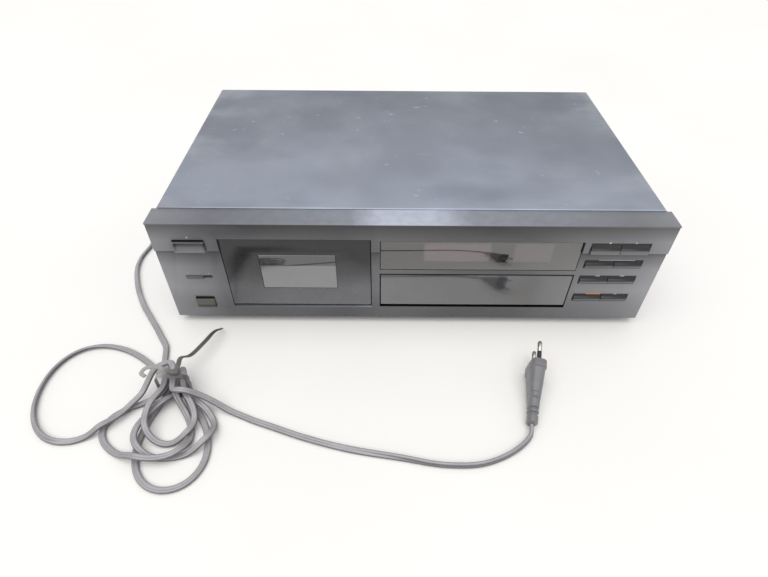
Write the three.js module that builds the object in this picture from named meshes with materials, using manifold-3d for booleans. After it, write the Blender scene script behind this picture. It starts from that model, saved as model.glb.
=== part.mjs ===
// Cassette deck with a bottom-hinged cassette door, a drop-down control flap and a captive mains lead.
// Millimetres. +X is to the right as seen from the front, the front faces -Y and +Z is up. The origin
// lies on the table, under the middle of the deck. The flat lead lies on the same table, tied in loops.

import Module from 'manifold-3d';
import * as THREE from 'three';
import { mergeVertices } from 'three/addons/utils/BufferGeometryUtils.js';

const wasm = await Module();
wasm.setup();

// Clearances that the whole assembly shares
const seatGap = 0.3;
const runGap = 0.8;
const cutOver = 2;
const sheet = 1;
const weldDistance = 0.0001;

// Facets on a full turn, for large and small round parts
const fineTurn = 48;
const roundTurn = 24;
const smallTurn = 12;
const arcSteps = 6;

// Front panel. Heights are measured from its bottom edge, sideways places from the middle.
const panel = {
  width: 435, lift: 8, height: 109.6, wall: 3, browDepth: 21.4, noseOver: 1, noseLip: 1.3,
  noseRound: 0.6, stepDepth: 1.5, stepDrop: 12, stepBevel: 0.7, spigotDepth: 8, spigotWall: 2,
};
const panelHalf = panel.width / 2;

// Steel top cover and its fit over the panel's spigot
const cover = { inset: 2.9, depth: 239.8, rise: 0.9, bend: 3, skirtLift: 1, rearOver: 3 };

// Steel base tray, its feet and the rear panel
const tray = { rise: 1, sideFlange: 12, frontFlange: 9, ribHeight: 1.6, ribWidth: 8, ribCount: 3 };
const foot = { radius: 20, topRadius: 17, rim: 3, inner: 13, hollow: 2, inset: 50, front: 37.4,
  rearGap: 29.7 };
const rear = { jackInset: 89.5, jackUp: 62, cordInset: 32.5, cordUp: 22, ventCount: 9, ventWidth: 3 };
rear.jackSide = panelHalf - rear.jackInset;
rear.cordSide = rear.cordInset - panelHalf;
rear.ventPitch = 9;
rear.ventHeight = 34;
rear.ventSide = 30;

// Cassette door, its window and hinge
const door = {
  inset: 55.7, width: 126.9, low: 13.5, underTop: 17.1, thick: 3, hingeIn: 4.5, pin: 1.6, pinOut: 3.4,
  ear: 3, bossWall: 1.8, swing: 30,
};
door.left = door.inset - panelHalf;
door.right = door.left + door.width;
door.high = panel.height - door.underTop;
const doorWindow = { leftRim: 30.8, rightRim: 30.1, lowRim: 23.5, highRim: 17.5, thick: 1.6, inset: 0.3,
  lip: 1.2 };
doorWindow.left = door.left + doorWindow.leftRim;
doorWindow.right = door.right - doorWindow.rightRim;
doorWindow.low = door.low + doorWindow.lowRim;
doorWindow.high = door.high - doorWindow.highRim;

// Compact cassette that the holder takes, and the holder round it
const cassette = { width: 100.4, height: 63.8, thick: 12, hubPitch: 42.5, hubUp: 34.8, low: 21.2 };
const holder = {
  slack: 0.5, plate: 1, channel: 1.5, lip: 5, ledge: 11, ledgeThick: 1.5, topOver: 2.2, windowLow: 15.8, windowTop: 10,
};

// Door damper: a gear sector on the holder turns a small damped pinion
const gear = { module: 1, sectorTeeth: 44, pinionTeeth: 10, width: 2, pinionUp: 12, thicknessShare: 0.36 };
gear.addendumShare = 0.7;
gear.dedendumShare = 1.05;
gear.flankShare = 0.16;
gear.hub = 8;
const damper = { radius: 6.5, shaft: 1.2 };

// Tape transport behind the holder
const plate = { front: 19.2, thick: 1.5, halfWidth: 48, high: 88, foot: 14 };
const spindle = { core: 3.1, fin: 5, finWidth: 1.5, finCount: 3, reach: 8.2, flange: 10, disc: 15 };
spindle.tip = 2.2;
spindle.discThick = 3;
spindle.flangeThick = 1.4;
const heads = { plateThick: 1.2, left: -31, right: 11, low: 5.5, high: 17, shelf: 1, front: 6.4 };
const playHead = { width: 12, depth: 9, top: 20.2, crown: 1.6 };
const eraseHead = { side: -22, width: 7, depth: 7, top: 19.4, crown: 1 };
const pinch = { pivotSide: 15, pivotUp: 14, arm: 17, swing: 20, armThick: 1.4, roller: 6.5, length: 8 };
pinch.axle = 1;
pinch.hub = 3.2;
const capstan = { radius: 1.25, reach: 7, wheel: 22, wheelFront: 27, wheelThick: 8, web: 2.5, rim: 4 };
const bracket = { front: 36.5, thick: 1.5, post: 2.4, halfWidth: 46, low: 6, high: 60 };
bracket.postSide = 41;
bracket.postLow = 11;
bracket.postHigh = 55;
bracket.middleLow = 9.5;
const motor = { side: -34, up: 32, radius: 16, length: 26, pulley: 4, shaft: 1, flange: 5.5,
  flangeThick: 1 };
const belt = { width: 4, thick: 0.9 };

// Controls of the left side
const power = { inset: 18.2, width: 25.5, overStep: 0.4, height: 11.7, proud: 2, travel: 3, rim: 1.1,
  scoop: 9 };
power.stem = 3;
power.switchWidth = 15;
power.switchHeight = 12;
power.switchDepth = 24;
power.switchFront = 17;
const timer = { inset: 18.9, width: 23.4, height: 3.7, knob: 14.8, proud: 0.9, back: 8, collar: 2 };
timer.lowShare = 0.6;
timer.collarThick = 1.2;
timer.switchDepth = 6;
timer.switchOver = 3;
const eject = { inset: 21.5, width: 16.5, low: 13, height: 9.8, wellRise: 4.2, proud: 1.4, back: 15 };
eject.wellDepth = 2.1;
eject.stem = 3;

// Keys: four rows of two thin bars. A row's low share is its place below the step.
const key = { inset: 17.5, leftWidth: 24.7, rightWidth: 24, split: 0.5, travel: 1, back: 6, stem: 1.6,
  lug: 1.4 };
key.gap = 0.6;
key.lugThick = 1.2;
key.frontShare = 0.52;
key.topDepth = 1;
key.right = panelHalf - key.inset;
key.middle = key.right - key.rightWidth;
key.left = key.middle - key.leftWidth;
const rows = [
  { names: ['stop_key', 'play_key'], height: 9.5, proud: 1.3, upper: true },
  { names: ['search_key', 'mute_key'], lowShare: 0.80881, height: 5.9, proud: 1.2, upper: false },
  { names: ['rewind_key', 'wind_key'], lowShare: 0.57862, height: 6.2, proud: 1.2, upper: false },
  { names: ['record_key', 'pause_key'], lowShare: 0.30692, height: 5.8, proud: 1.2, upper: false },
];

// Display window between the door and the keys, with the tube and the circuit board behind it
const display = { besideDoor: 8.9, besideKeys: 7, underTop: 18.1, overFlap: 6.5, pane: 2, lip: 2.2 };
display.left = door.right + display.besideDoor;
display.right = key.left - display.besideKeys;
display.high = panel.height - display.underTop;
const tube = { leftRim: 32, rightRim: 18.3, lowRim: 4, highRim: 1.5, depth: 6, back: 13.7, corner: 2.5,
  seal: 3 };
const board = { thick: 1.6, front: 14, underKeys: 4.4, overDisplay: 0.5, edge: 5, switchSize: 6,
  switchDepth: 2.6 };
board.postRadius = 2.2;

// Control flap under the display, and what lies behind it
const flap = { low: 14.7, leftIn: 0.3, rightIn: 0.2, thick: 2.4, hingeIn: 3.5, pin: 1.3, pinOut: 3 };
flap.bossWall = 1.6;
flap.heightShare = 0.5052;
flap.left = display.left + flap.leftIn;
flap.right = display.right - flap.rightIn;
flap.high = flap.low + (display.high - flap.low) * flap.heightShare;
const flapMiddle = (flap.low + flap.high) / 2;
const alongFlap = (share) => flap.left + (flap.right - flap.left) * share;
const well = { depth: 13, wall: 1.5, over: 2.5 };
const controlShares = { phones: 0.11602, slider: 0.30448, bias: 0.48115, balance: 0.61072, level: 0.81095 };
const levelKnob = { radius: 13, depth: 9, shaft: 3, flutes: 24, fluteShare: 0.94 };
const smallKnob = { radius: 6, depth: 8, shaft: 2, flutes: 18, fluteShare: 0.9 };
const slider = { slot: 12, slotHeight: 3, knob: 4.5, depth: 5 };
const phones = { bore: 3.3, collar: 6, body: 7.5, depth: 26, collarOut: 2 };
const levelSide = alongFlap(controlShares.level);
const balanceSide = alongFlap(controlShares.balance);
const biasSide = alongFlap(controlShares.bias);
const sliderSide = alongFlap(controlShares.slider);
const phonesSide = alongFlap(controlShares.phones);

// Heights that follow from the display and from the step across the face
display.low = flap.high + display.overFlap;
tube.left = display.left + tube.leftRim;
tube.right = display.right - tube.rightRim;
tube.low = display.low + tube.lowRim;
tube.high = display.high - tube.highRim;
const stepHeight = display.high - panel.stepDrop;
for (const row of rows) {
  row.low = row.upper ? stepHeight + power.overStep : stepHeight * row.lowShare;
  row.high = row.low + row.height;
}
board.high = display.high + board.overDisplay;
board.low = rows[rows.length - 1].low - board.underKeys;
power.left = power.inset - panelHalf;
power.right = power.left + power.width;
power.low = stepHeight + power.overStep;
power.high = power.low + power.height;
timer.left = timer.inset - panelHalf;
timer.right = timer.left + timer.width;
timer.low = stepHeight * timer.lowShare;
timer.high = timer.low + timer.height;
eject.left = eject.inset - panelHalf;
eject.right = eject.left + eject.width;
eject.high = eject.low + eject.height;
eject.wellTop = eject.high + eject.wellRise;

// Inside: mains transformer and main board
const mains = { inset: 67.5, rearGap: 23.7, width: 56, depth: 46, height: 48, window: 10, bobbin: 6 };
const mainBoard = { left: -60, inset: 21.5, front: 62, rearGap: 41.7, post: 6, postRadius: 3, thick: 1.6 };
mainBoard.right = panelHalf - mainBoard.inset;
mainBoard.capRadius = 6;
mainBoard.capHeight = 20;
mainBoard.chipHeight = 4;

// Rear sockets and the grommet of the lead
const jack = { pitch: 14, radius: 4.2, bore: 1.6, proud: 10.5, boreDepth: 9, plateThick: 2, edge: 10,
  inner: 8 };
const grommet = { wide: 13, high: 10, flange: 2, sleeve: 24, startRadius: 5.2, endRadius: 3.6,
  flatShare: 0.78 };
grommet.inner = 6;

// Flat two-core lead
const cord = { width: 5.8, thick: 3.5, rest: 0.15, edgeShare: 0.5 };

// The lead from its grommet round to the tied bundle, as points on its middle line
const leadRoute = [
  [-185, 168, 29], [-190, 186, 24], [-203, 200, 15], [-222, 207, 6], [-245, 203, 2.7], [-263, 185, 2.1],
  [-274, 160, 2], [-280, 130, 2], [-283, 95, 2], [-284, 60, 2], [-284, 20, 2], [-284, -22, 2],
  [-287.2, -36.2, 2], [-286.4, -54.2, 2], [-280.8, -72.6, 2], [-273, -90.1, 2], [-260.7, -111.4, 2],
  [-247.5, -129.3, 2], [-236.3, -144.2, 2], [-227.8, -156.5, 2],
];

// Tied bundle: where the tie is, and the strands' spacing and stacking there
const knot = { x: -196, y: -217, reach: 6, columnPitch: 7.8, side: 10, stackGap: 1.1, topReach: 16,
  slack: 1.9, planGap: 0.5 };
const bundleStart = { x: -219.5, y: -174, heading: -78 };
const bundleEnd = { x: -136, y: -238.5, heading: -24 };
const tailTurn = { x: -172, y: -227.5, heading: -8 };
const bigLoop = { x: -216, y: -199.5, heading: 191, reach: 99, breadth: 97, spread: 5, sense: 1 };
const lowerLoops = [
  { heading: -77, reach: 80, breadth: 46, from: -1, to: 1, sense: 1 },
  { heading: -80, reach: 53, breadth: 58, from: 0, to: 1, sense: 1 },
  { heading: -107, reach: 56, breadth: 72, from: -1, to: 0, sense: 1 },
  { heading: -80, reach: 42, breadth: 30, from: 1, to: -1, sense: -1 },
];
const stepsPerLoop = 24;
const stepsPerTurn = 8;
const planSteps = 60;
const settleRounds = 60;
const steepestSlope = 0.6;
const fullnessShare = 0.7;
const petalWidest = 0.83;

// Tie round the bundle: ring, long tail and short stub, both on top of the strands
const tie = { thick: 0.9, width: 4.2, tipWidth: 2.4, headWidth: 6.5, headHigh: 3, stubThick: 1.6 };
const tieTail = [[-191, -214], [-193, -199], [-190, -187], [-183, -170], [-178, -155], [-175, -144]];
const tieTipHeight = 3;
const tieStub = [[-199, -213], [-207, -209.5], [-216, -209], [-219.5, -213.5], [-214, -219.5]];

// The rest of the lead, from the bundle to the plug
const tailRoute = [
  [-114, -247, 2], [-89, -256, 2], [-49, -267, 2], [-10, -274, 2], [24.5, -280, 2], [55, -278.5, 2.2],
  [70, -273, 2.6], [83, -265.5, 3.4],
];

// Flat mains plug with two round pins; it stands on its flange's edge, held up by the stiff lead
const plug = { x: 95.4, y: -246.8, heading: 77, pitch: 11.5, roll: 86, length: 53, width: 30.5, thick: 14 };
plug.flange = 7;
plug.neckWidth = 12;
plug.neckThick = 9;
plug.wing = 9;
plug.wingAt = 23;
plug.wingLong = 6;
plug.pin = 2;
plug.pinLong = 19;
plug.pinPitch = 18.6;
plug.pinRoot = 9;
plug.corner = 5;
plug.coneWidth = 26;

// Places that follow from the sizes above
const upperFace = -panel.stepDepth;
const frontReach = panel.stepDepth + power.proud;
const coverFront = -panel.stepDepth - panel.noseOver + panel.browDepth;
const coverRear = coverFront + cover.depth;
const rearOutside = coverRear - cover.rearOver;
const rearReach = rearOutside + jack.proud;
const faceY = (frontReach - rearReach) / 2;
const trayFloor = panel.lift + tray.rise;
const trayTop = trayFloor + sheet;
const coverTop = panel.lift + panel.height + cover.rise;
const coverSide = panelHalf - cover.inset;
const coverInside = coverSide - sheet;
foot.rear = rearOutside - foot.rearGap;
mains.side = mains.inset - panelHalf;
mains.front = rearOutside - mains.rearGap - mains.depth;
mainBoard.rear = rearOutside - mainBoard.rearGap;
const doorMiddle = (door.left + door.right) / 2;
const holderInside = door.thick + seatGap + holder.plate;
const holderBack = holderInside + cassette.thick + holder.slack * 2;
const hubHeight = cassette.low + cassette.hubUp;
const boardPosts = [
  [(door.right + display.left) / 2, board.high - board.edge],
  [(display.right + key.left) / 2, board.high - board.edge],
  [key.right + runGap + board.edge, board.high - board.edge],
  [key.right + runGap + board.edge, board.low + board.edge],
];
const bracketPosts = [
  [-bracket.postSide, bracket.postLow], [-bracket.postSide, bracket.postHigh], [0, bracket.postHigh],
  [bracket.postSide, bracket.postHigh], [0, bracket.middleLow],
];

const deep = (y) => faceY + y;
const up = (z) => panel.lift + z;

// Turns a three.js geometry into a solid that can be cut and joined
function toSolid(geometry) {
  const bare = geometry.index ? geometry.toNonIndexed() : geometry.clone();
  bare.deleteAttribute('normal');
  bare.deleteAttribute('uv');
  const snap = (value) => Math.round(value / weldDistance) * weldDistance;
  bare.attributes.position.array.forEach((value, i, array) => { array[i] = snap(value); });
  const merged = mergeVertices(bare, weldDistance);
  const vertProperties = Float32Array.from(merged.attributes.position.array);
  const triVerts = Uint32Array.from(merged.index.array);
  return new wasm.Manifold(new wasm.Mesh({ numProp: 3, vertProperties, triVerts }));
}

// Turns a finished solid back into a three.js geometry
function toGeometry(solid) {
  const mesh = solid.getMesh();
  const geometry = new THREE.BufferGeometry();
  geometry.setAttribute('position', new THREE.BufferAttribute(Float32Array.from(mesh.vertProperties), 3));
  geometry.setIndex(new THREE.BufferAttribute(Uint32Array.from(mesh.triVerts), 1));
  geometry.computeVertexNormals();
  return geometry;
}

const joinAll = (solids) => solids.reduce((whole, solid) => whole.add(solid));
const cutAll = (solid, cutters) => cutters.reduce((left, cutter) => left.subtract(cutter), solid);

// Rectangular block between two corners
function block(x0, x1, y0, y1, z0, z1) {
  const geometry = new THREE.BoxGeometry(x1 - x0, y1 - y0, z1 - z0);
  geometry.translate((x0 + x1) / 2, (y0 + y1) / 2, (z0 + z1) / 2);
  return toSolid(geometry);
}

// Outline in y and z, drawn out along x
function alongX(outline, x0, x1) {
  const geometry = new THREE.ExtrudeGeometry(outline, { depth: x1 - x0, bevelEnabled: false,
    curveSegments: arcSteps });
  const axes = new THREE.Matrix4().makeBasis(
    new THREE.Vector3(0, 1, 0), new THREE.Vector3(0, 0, 1), new THREE.Vector3(1, 0, 0));
  geometry.applyMatrix4(axes);
  geometry.translate(x0, 0, 0);
  return toSolid(geometry);
}

// Outline in x and z, drawn out along y
function alongY(outline, y0, y1) {
  const geometry = new THREE.ExtrudeGeometry(outline, { depth: y1 - y0, bevelEnabled: false,
    curveSegments: arcSteps });
  geometry.rotateX(Math.PI / 2);
  geometry.translate(0, y1, 0);
  return toSolid(geometry);
}

// Outline in x and y, drawn out along z
function alongZ(outline, z0, z1) {
  const geometry = new THREE.ExtrudeGeometry(outline, { depth: z1 - z0, bevelEnabled: false,
    curveSegments: arcSteps });
  geometry.translate(0, 0, z0);
  return toSolid(geometry);
}

// Round rod or disc along y
function rodY(x, z, y0, y1, radius, turn = roundTurn, endRadius = radius) {
  const geometry = new THREE.CylinderGeometry(endRadius, radius, y1 - y0, turn);
  geometry.translate(x, (y0 + y1) / 2, z);
  return toSolid(geometry);
}

// Round rod along x
function rodX(y, z, x0, x1, radius, turn = smallTurn) {
  const geometry = new THREE.CylinderGeometry(radius, radius, x1 - x0, turn);
  geometry.rotateZ(Math.PI / 2);
  geometry.translate((x0 + x1) / 2, y, z);
  return toSolid(geometry);
}

// Round rod along z
function rodZ(x, y, z0, z1, radius, turn = smallTurn) {
  const geometry = new THREE.CylinderGeometry(radius, radius, z1 - z0, turn);
  geometry.rotateX(Math.PI / 2);
  geometry.translate(x, y, (z0 + z1) / 2);
  return toSolid(geometry);
}

// Closed outline through points
function outlineOf(points) {
  return new THREE.Shape(points.map(([a, b]) => new THREE.Vector2(a, b)));
}

// Rectangle with round corners
function roundedOutline(a0, a1, b0, b1, radius) {
  const shape = new THREE.Shape();
  shape.moveTo(a0 + radius, b0);
  shape.lineTo(a1 - radius, b0);
  shape.absarc(a1 - radius, b0 + radius, radius, -Math.PI / 2, 0);
  shape.lineTo(a1, b1 - radius);
  shape.absarc(a1 - radius, b1 - radius, radius, 0, Math.PI / 2);
  shape.lineTo(a0 + radius, b1);
  shape.absarc(a0 + radius, b1 - radius, radius, Math.PI / 2, Math.PI);
  shape.lineTo(a0, b0 + radius);
  shape.absarc(a0 + radius, b0 + radius, radius, Math.PI, Math.PI * 1.5);
  return shape;
}

// Finishes of the pieces
const finish = (color, roughness, metalness) => new THREE.MeshStandardMaterial({ color, roughness,
  metalness });
const looks = {
  panel: () => finish(0x2b2b2e, 0.45, 0),
  gloss: () => finish(0x1d1e21, 0.15, 0),
  smoked: () => finish(0x26282c, 0.08, 0),
  painted: () => finish(0x4a4d53, 0.5, 0.2),
  zinc: () => finish(0x9a9c98, 0.4, 0.9),
  steel: () => finish(0xb4b6b8, 0.3, 1),
  dark: () => finish(0x1a1a1a, 0.6, 0),
  rubber: () => finish(0x141414, 0.85, 0),
  board: () => finish(0x6b5a2c, 0.7, 0),
  brass: () => finish(0xb08c46, 0.3, 1),
  white: () => finish(0xd8d6cf, 0.6, 0),
  glass: () => finish(0x3a3434, 0.1, 0),
  copper: () => finish(0x8c4a26, 0.5, 0.5),
  lead: () => finish(0x3f3f42, 0.6, 0),
};

const deck = new THREE.Group();

function addPiece(name, solid, look) {
  const geometry = solid.isBufferGeometry ? solid : toGeometry(solid);
  const mesh = new THREE.Mesh(geometry, look());
  mesh.name = name;
  deck.add(mesh);
  return mesh;
}

// Front panel: one moulding with a flat brow, a step across the face and openings for all controls
function hingeBoss(edge, outward, low, hinge) {
  const y = deep(hinge.hingeIn);
  const z = up(low + hinge.hingeIn);
  const reach = hinge.pin + seatGap + hinge.bossWall;
  const start = edge + outward * runGap;
  const end = start + outward * (hinge.pinOut + seatGap + hinge.bossWall);
  return block(Math.min(start, end), Math.max(start, end), deep(panel.wall / 2), y + reach, z - reach,
    z + reach);
}

function hingeHole(edge, outward, low, hinge) {
  const start = edge;
  const end = edge + outward * (runGap + hinge.pinOut + seatGap);
  return rodX(deep(hinge.hingeIn), up(low + hinge.hingeIn), Math.min(start, end), Math.max(start, end),
    hinge.pin + seatGap);
}

function through(left, right, low, high, margin) {
  return block(left - margin, right + margin, deep(upperFace - panel.noseOver - cutOver),
    deep(panel.wall + cutOver),
    up(low) - margin, up(high) + margin);
}

function frontPanel() {
  const half = panelHalf;
  const top = up(panel.height);
  const nose = deep(upperFace - panel.noseOver);
  const back = deep(coverFront);
  const lipLow = top - panel.noseLip;
  const outside = outlineOf([
    [deep(0), up(0)], [back, up(0)], [back, top], [nose + panel.noseRound, top], [nose,
      top - panel.noseRound],
    [nose, lipLow], [deep(upperFace), lipLow], [deep(upperFace), up(stepHeight + panel.stepBevel)],
    [deep(0), up(stepHeight)],
  ]);
  const inside = block(-half + panel.wall, half - panel.wall, deep(panel.wall), back + cutOver,
    up(panel.wall), top - panel.wall);
  const spigotHalf = coverInside - seatGap;
  const spigotTop = coverTop - sheet - seatGap;
  const spigotStart = back - panel.spigotWall * 2;
  const spigotEnd = back + panel.spigotDepth;
  const spigotLow = trayTop + seatGap;
  const parts = [
    alongX(outside, -half, half).subtract(inside),
    block(-spigotHalf, spigotHalf, spigotStart, back, spigotTop - panel.spigotWall, spigotTop),
    block(-spigotHalf + cover.bend, spigotHalf - cover.bend, spigotStart, spigotEnd,
      spigotTop - panel.spigotWall,
      spigotTop),
  ];
  for (const side of [-1, 1]) {
    const inner = side * (spigotHalf - panel.spigotWall);
    const outer = side * spigotHalf;
    const shoulder = side * (half - panel.wall / 2);
    const flank = (a, b, y1, z1) => block(Math.min(a, b), Math.max(a, b), spigotStart, y1, spigotLow, z1);
    parts.push(flank(inner, outer, spigotEnd, spigotTop - cover.bend));
    parts.push(flank(inner, shoulder, back, spigotTop));
  }
  for (const [x, z] of boardPosts) {
    parts.push(rodY(x, up(z), deep(panel.wall / 2), deep(board.front - seatGap), board.postRadius,
      smallTurn));
  }
  for (const side of [-1, 1]) {
    parts.push(hingeBoss(side < 0 ? door.left : door.right, side, door.low, door));
    parts.push(hingeBoss(side < 0 ? flap.left : flap.right, side, flap.low, flap));
  }
  const recessFloor = deep(display.pane + seatGap);
  const cuts = [
    through(door.left, door.right, door.low, door.high, runGap),
    through(flap.left, flap.right, flap.low, flap.high, runGap),
    through(display.left, display.right, display.low, display.high, -display.lip),
    block(display.left - seatGap, display.right + seatGap, nose - cutOver, recessFloor,
      up(display.low) - seatGap, up(display.high) + seatGap),
    through(power.left, power.right, power.low, power.high, key.gap),
    through(timer.left, timer.right, timer.low, timer.high, 0),
    through(eject.left, eject.right, eject.low, eject.high, key.gap),
    alongX(outlineOf([
      [deep(-cutOver), up(eject.wellTop)], [deep(0), up(eject.wellTop)], [deep(eject.wellDepth),
        up(eject.high)],
      [deep(-cutOver), up(eject.high)],
    ]), eject.left - key.gap, eject.right + key.gap),
  ];
  for (const row of rows) {
    cuts.push(through(key.left, key.right, row.low, row.high, key.gap));
  }
  for (const side of [-1, 1]) {
    cuts.push(hingeHole(side < 0 ? door.left : door.right, side, door.low, door));
    cuts.push(hingeHole(side < 0 ? flap.left : flap.right, side, flap.low, flap));
  }
  return cutAll(joinAll(parts), cuts);
}

// Steel cover: a sheet bent down at both sides
function topCover() {
  const side = coverSide;
  const low = up(cover.skirtLift);
  const bendAt = coverTop - cover.bend;
  const shape = new THREE.Shape();
  shape.moveTo(-side, low);
  shape.lineTo(-side, bendAt);
  shape.absarc(-side + cover.bend, bendAt, cover.bend, Math.PI, Math.PI / 2, true);
  shape.lineTo(side - cover.bend, coverTop);
  shape.absarc(side - cover.bend, bendAt, cover.bend, Math.PI / 2, 0, true);
  shape.lineTo(side, low);
  shape.lineTo(side - sheet, low);
  shape.lineTo(side - sheet, bendAt);
  shape.absarc(side - cover.bend, bendAt, cover.bend - sheet, 0, Math.PI / 2);
  shape.lineTo(-side + cover.bend, coverTop - sheet);
  shape.absarc(-side + cover.bend, bendAt, cover.bend - sheet, Math.PI / 2, Math.PI);
  shape.lineTo(-side + sheet, low);
  return alongY(shape, deep(coverFront + seatGap), deep(coverRear));
}

// Base tray with turned-up flanges, stiffening ribs and stand-offs for the main board
function chassis() {
  const half = coverInside - seatGap;
  const front = deep(coverFront + seatGap);
  const back = deep(rearOutside) - sheet - seatGap;
  const sideStart = deep(coverFront + panel.spigotDepth) + seatGap;
  const parts = [block(-half, half, front, back, trayFloor, trayTop)];
  for (const side of [-1, 1]) {
    const inner = side * (half - sheet);
    const outer = side * half;
    parts.push(block(Math.min(inner, outer), Math.max(inner, outer), sideStart, back - sheet, trayFloor,
      trayTop + tray.sideFlange));
  }
  const flangeHalf = half - panel.spigotWall - seatGap;
  const notchHalf = holderOutside + gear.width + runGap;
  const flangeTop = trayTop + tray.frontFlange;
  const flangeFront = front + seatGap;
  parts.push(block(-flangeHalf, doorMiddle - notchHalf, flangeFront, flangeFront + sheet, trayFloor,
    flangeTop));
  parts.push(block(doorMiddle + notchHalf, flangeHalf, flangeFront, flangeFront + sheet, trayFloor,
    flangeTop));
  const ribPitch = (mainBoard.right - mainBoard.left) / (tray.ribCount + 1);
  for (let i = 1; i <= tray.ribCount; i += 1) {
    const x = mainBoard.left + i * ribPitch;
    parts.push(block(x - tray.ribWidth / 2, x + tray.ribWidth / 2, deep(mainBoard.front),
      deep(mainBoard.rear),
      trayFloor + sheet / 2, trayTop + tray.ribHeight));
  }
  for (const x of [mainBoard.left + mainBoard.post, mainBoard.right - mainBoard.post]) {
    for (const y of [mainBoard.front + mainBoard.post, mainBoard.rear - mainBoard.post]) {
      parts.push(rodZ(x, deep(y), trayFloor + sheet / 2, trayTop + mainBoard.post, mainBoard.postRadius));
    }
  }
  return joinAll(parts);
}

// Round foot with a hollow underside
function footSolid(x, y) {
  const top = trayFloor - seatGap;
  const points = [
    [0, foot.hollow], [foot.inner - foot.hollow, foot.hollow], [foot.inner, 0], [foot.radius, 0],
    [foot.radius, foot.rim], [foot.topRadius, top], [0, top],
  ].map(([r, z]) => new THREE.Vector2(r, z));
  const geometry = new THREE.LatheGeometry(points, roundTurn);
  geometry.rotateX(Math.PI / 2);
  geometry.translate(x, deep(y), 0);
  return toSolid(geometry);
}

// Rear panel with the socket window, the grommet hole and ventilation slots
function rearPanel() {
  const half = coverInside - seatGap;
  const outline = roundedOutline(-half, half, trayFloor, coverTop - sheet - seatGap, cover.bend);
  const y0 = deep(rearOutside) - sheet;
  const y1 = deep(rearOutside);
  const window = jack.pitch / 2 + jack.inner;
  const cuts = [
    block(rear.jackSide - window, rear.jackSide + window, y0 - cutOver, y1 + cutOver,
      up(rear.jackUp) - window, up(rear.jackUp) + window),
    alongY(grommetOutline(seatGap - grommet.flange), y0 - cutOver, y1 + cutOver),
  ];
  const middle = (rear.ventCount - 1) / 2;
  for (let i = 0; i < rear.ventCount; i += 1) {
    const x = -rear.ventSide + (i - middle) * rear.ventPitch;
    cuts.push(block(x - rear.ventWidth / 2, x + rear.ventWidth / 2, y0 - cutOver, y1 + cutOver,
      up(rear.jackUp) - rear.ventHeight / 2, up(rear.jackUp) + rear.ventHeight / 2));
  }
  return cutAll(alongY(outline, y0, y1), cuts);
}

function grommetOutline(grow) {
  const wide = grommet.wide / 2 + grow;
  const high = grommet.high / 2 + grow;
  return roundedOutline(rear.cordSide - wide, rear.cordSide + wide, up(rear.cordUp) - high,
    up(rear.cordUp) + high,
    high / 2);
}

// Grommet that passes the rear panel, with a tapered sleeve round the lead
function strainRelief() {
  const y = deep(rearOutside) + seatGap;
  const sleeve = new THREE.CylinderGeometry(grommet.endRadius, grommet.startRadius, grommet.sleeve,
    roundTurn);
  sleeve.scale(1, 1, grommet.flatShare);
  sleeve.translate(rear.cordSide, y + grommet.flange + grommet.sleeve / 2 - seatGap, up(rear.cordUp));
  return joinAll([
    alongY(grommetOutline(0), y, y + grommet.flange),
    alongY(grommetOutline(-grommet.flange), deep(rearOutside) - sheet - grommet.inner, y + seatGap),
    toSolid(sleeve),
  ]);
}
const cordExitY = deep(rearOutside) + grommet.flange + grommet.sleeve + seatGap;

// Four phono sockets on one plate
function jackBlock() {
  const y = deep(rearOutside) + seatGap;
  const half = jack.pitch / 2 + jack.edge;
  const plug = jack.pitch / 2 + jack.inner - seatGap;
  const x = rear.jackSide;
  const z = up(rear.jackUp);
  const parts = [
    alongY(roundedOutline(x - half, x + half, z - half, z + half, jack.plateThick), y, y + jack.plateThick),
    block(x - plug, x + plug, deep(rearOutside) - sheet - jack.inner, y + seatGap, z - plug, z + plug),
  ];
  const bores = [];
  const end = deep(rearOutside) + jack.proud;
  for (const dx of [-jack.pitch / 2, jack.pitch / 2]) {
    for (const dz of [-jack.pitch / 2, jack.pitch / 2]) {
      parts.push(rodY(x + dx, z + dz, y + seatGap, end, jack.radius, roundTurn));
      bores.push(rodY(x + dx, z + dz, end - jack.boreDepth, end + cutOver, jack.bore, smallTurn));
    }
  }
  return cutAll(joinAll(parts), bores);
}

// Display: smoked pane, vacuum tube and L-shaped circuit board with the key switches
function displayWindow() {
  return block(display.left, display.right, deep(0), deep(display.pane), up(display.low), up(display.high));
}

function displayTube() {
  const back = deep(tube.back);
  const envelope = alongY(roundedOutline(tube.left, tube.right, up(tube.low), up(tube.high), tube.corner),
    back - tube.depth, back);
  const shelf = alongY(roundedOutline(tube.left - tube.seal, tube.right + tube.seal,
    up(tube.low - tube.seal),
    up(tube.high), tube.corner), back - tube.depth / 2, back);
  return envelope.add(shelf);
}

function eachKey(visit) {
  for (const row of rows) {
    row.names.forEach((name, column) => {
      const left = column === 0 ? key.left : key.middle + key.split / 2;
      const right = column === 0 ? key.middle - key.split / 2 : key.right;
      visit(name, row, left, right);
    });
  }
}

function frontBoard() {
  const left = (door.right + display.left) / 2 - board.edge;
  const right = key.right + runGap + board.edge * 2;
  const columnLeft = flap.right + well.over + board.edge / 2;
  const stripLow = flap.high + well.over + seatGap;
  const outline = outlineOf([
    [left, up(stripLow)], [columnLeft, up(stripLow)], [columnLeft, up(board.low)], [right, up(board.low)],
    [right, up(board.high)], [left, up(board.high)],
  ]);
  const parts = [alongY(outline, deep(board.front), deep(board.front + board.thick))];
  eachKey((name, row, keyLeft, keyRight) => {
    const x = (keyLeft + keyRight) / 2;
    const z = up((row.low + row.high) / 2);
    const half = board.switchSize / 2;
    parts.push(block(x - half, x + half, deep(board.front - board.switchDepth),
      deep(board.front + board.thick / 2),
      z - half, z + half));
  });
  return joinAll(parts);
}

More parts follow.
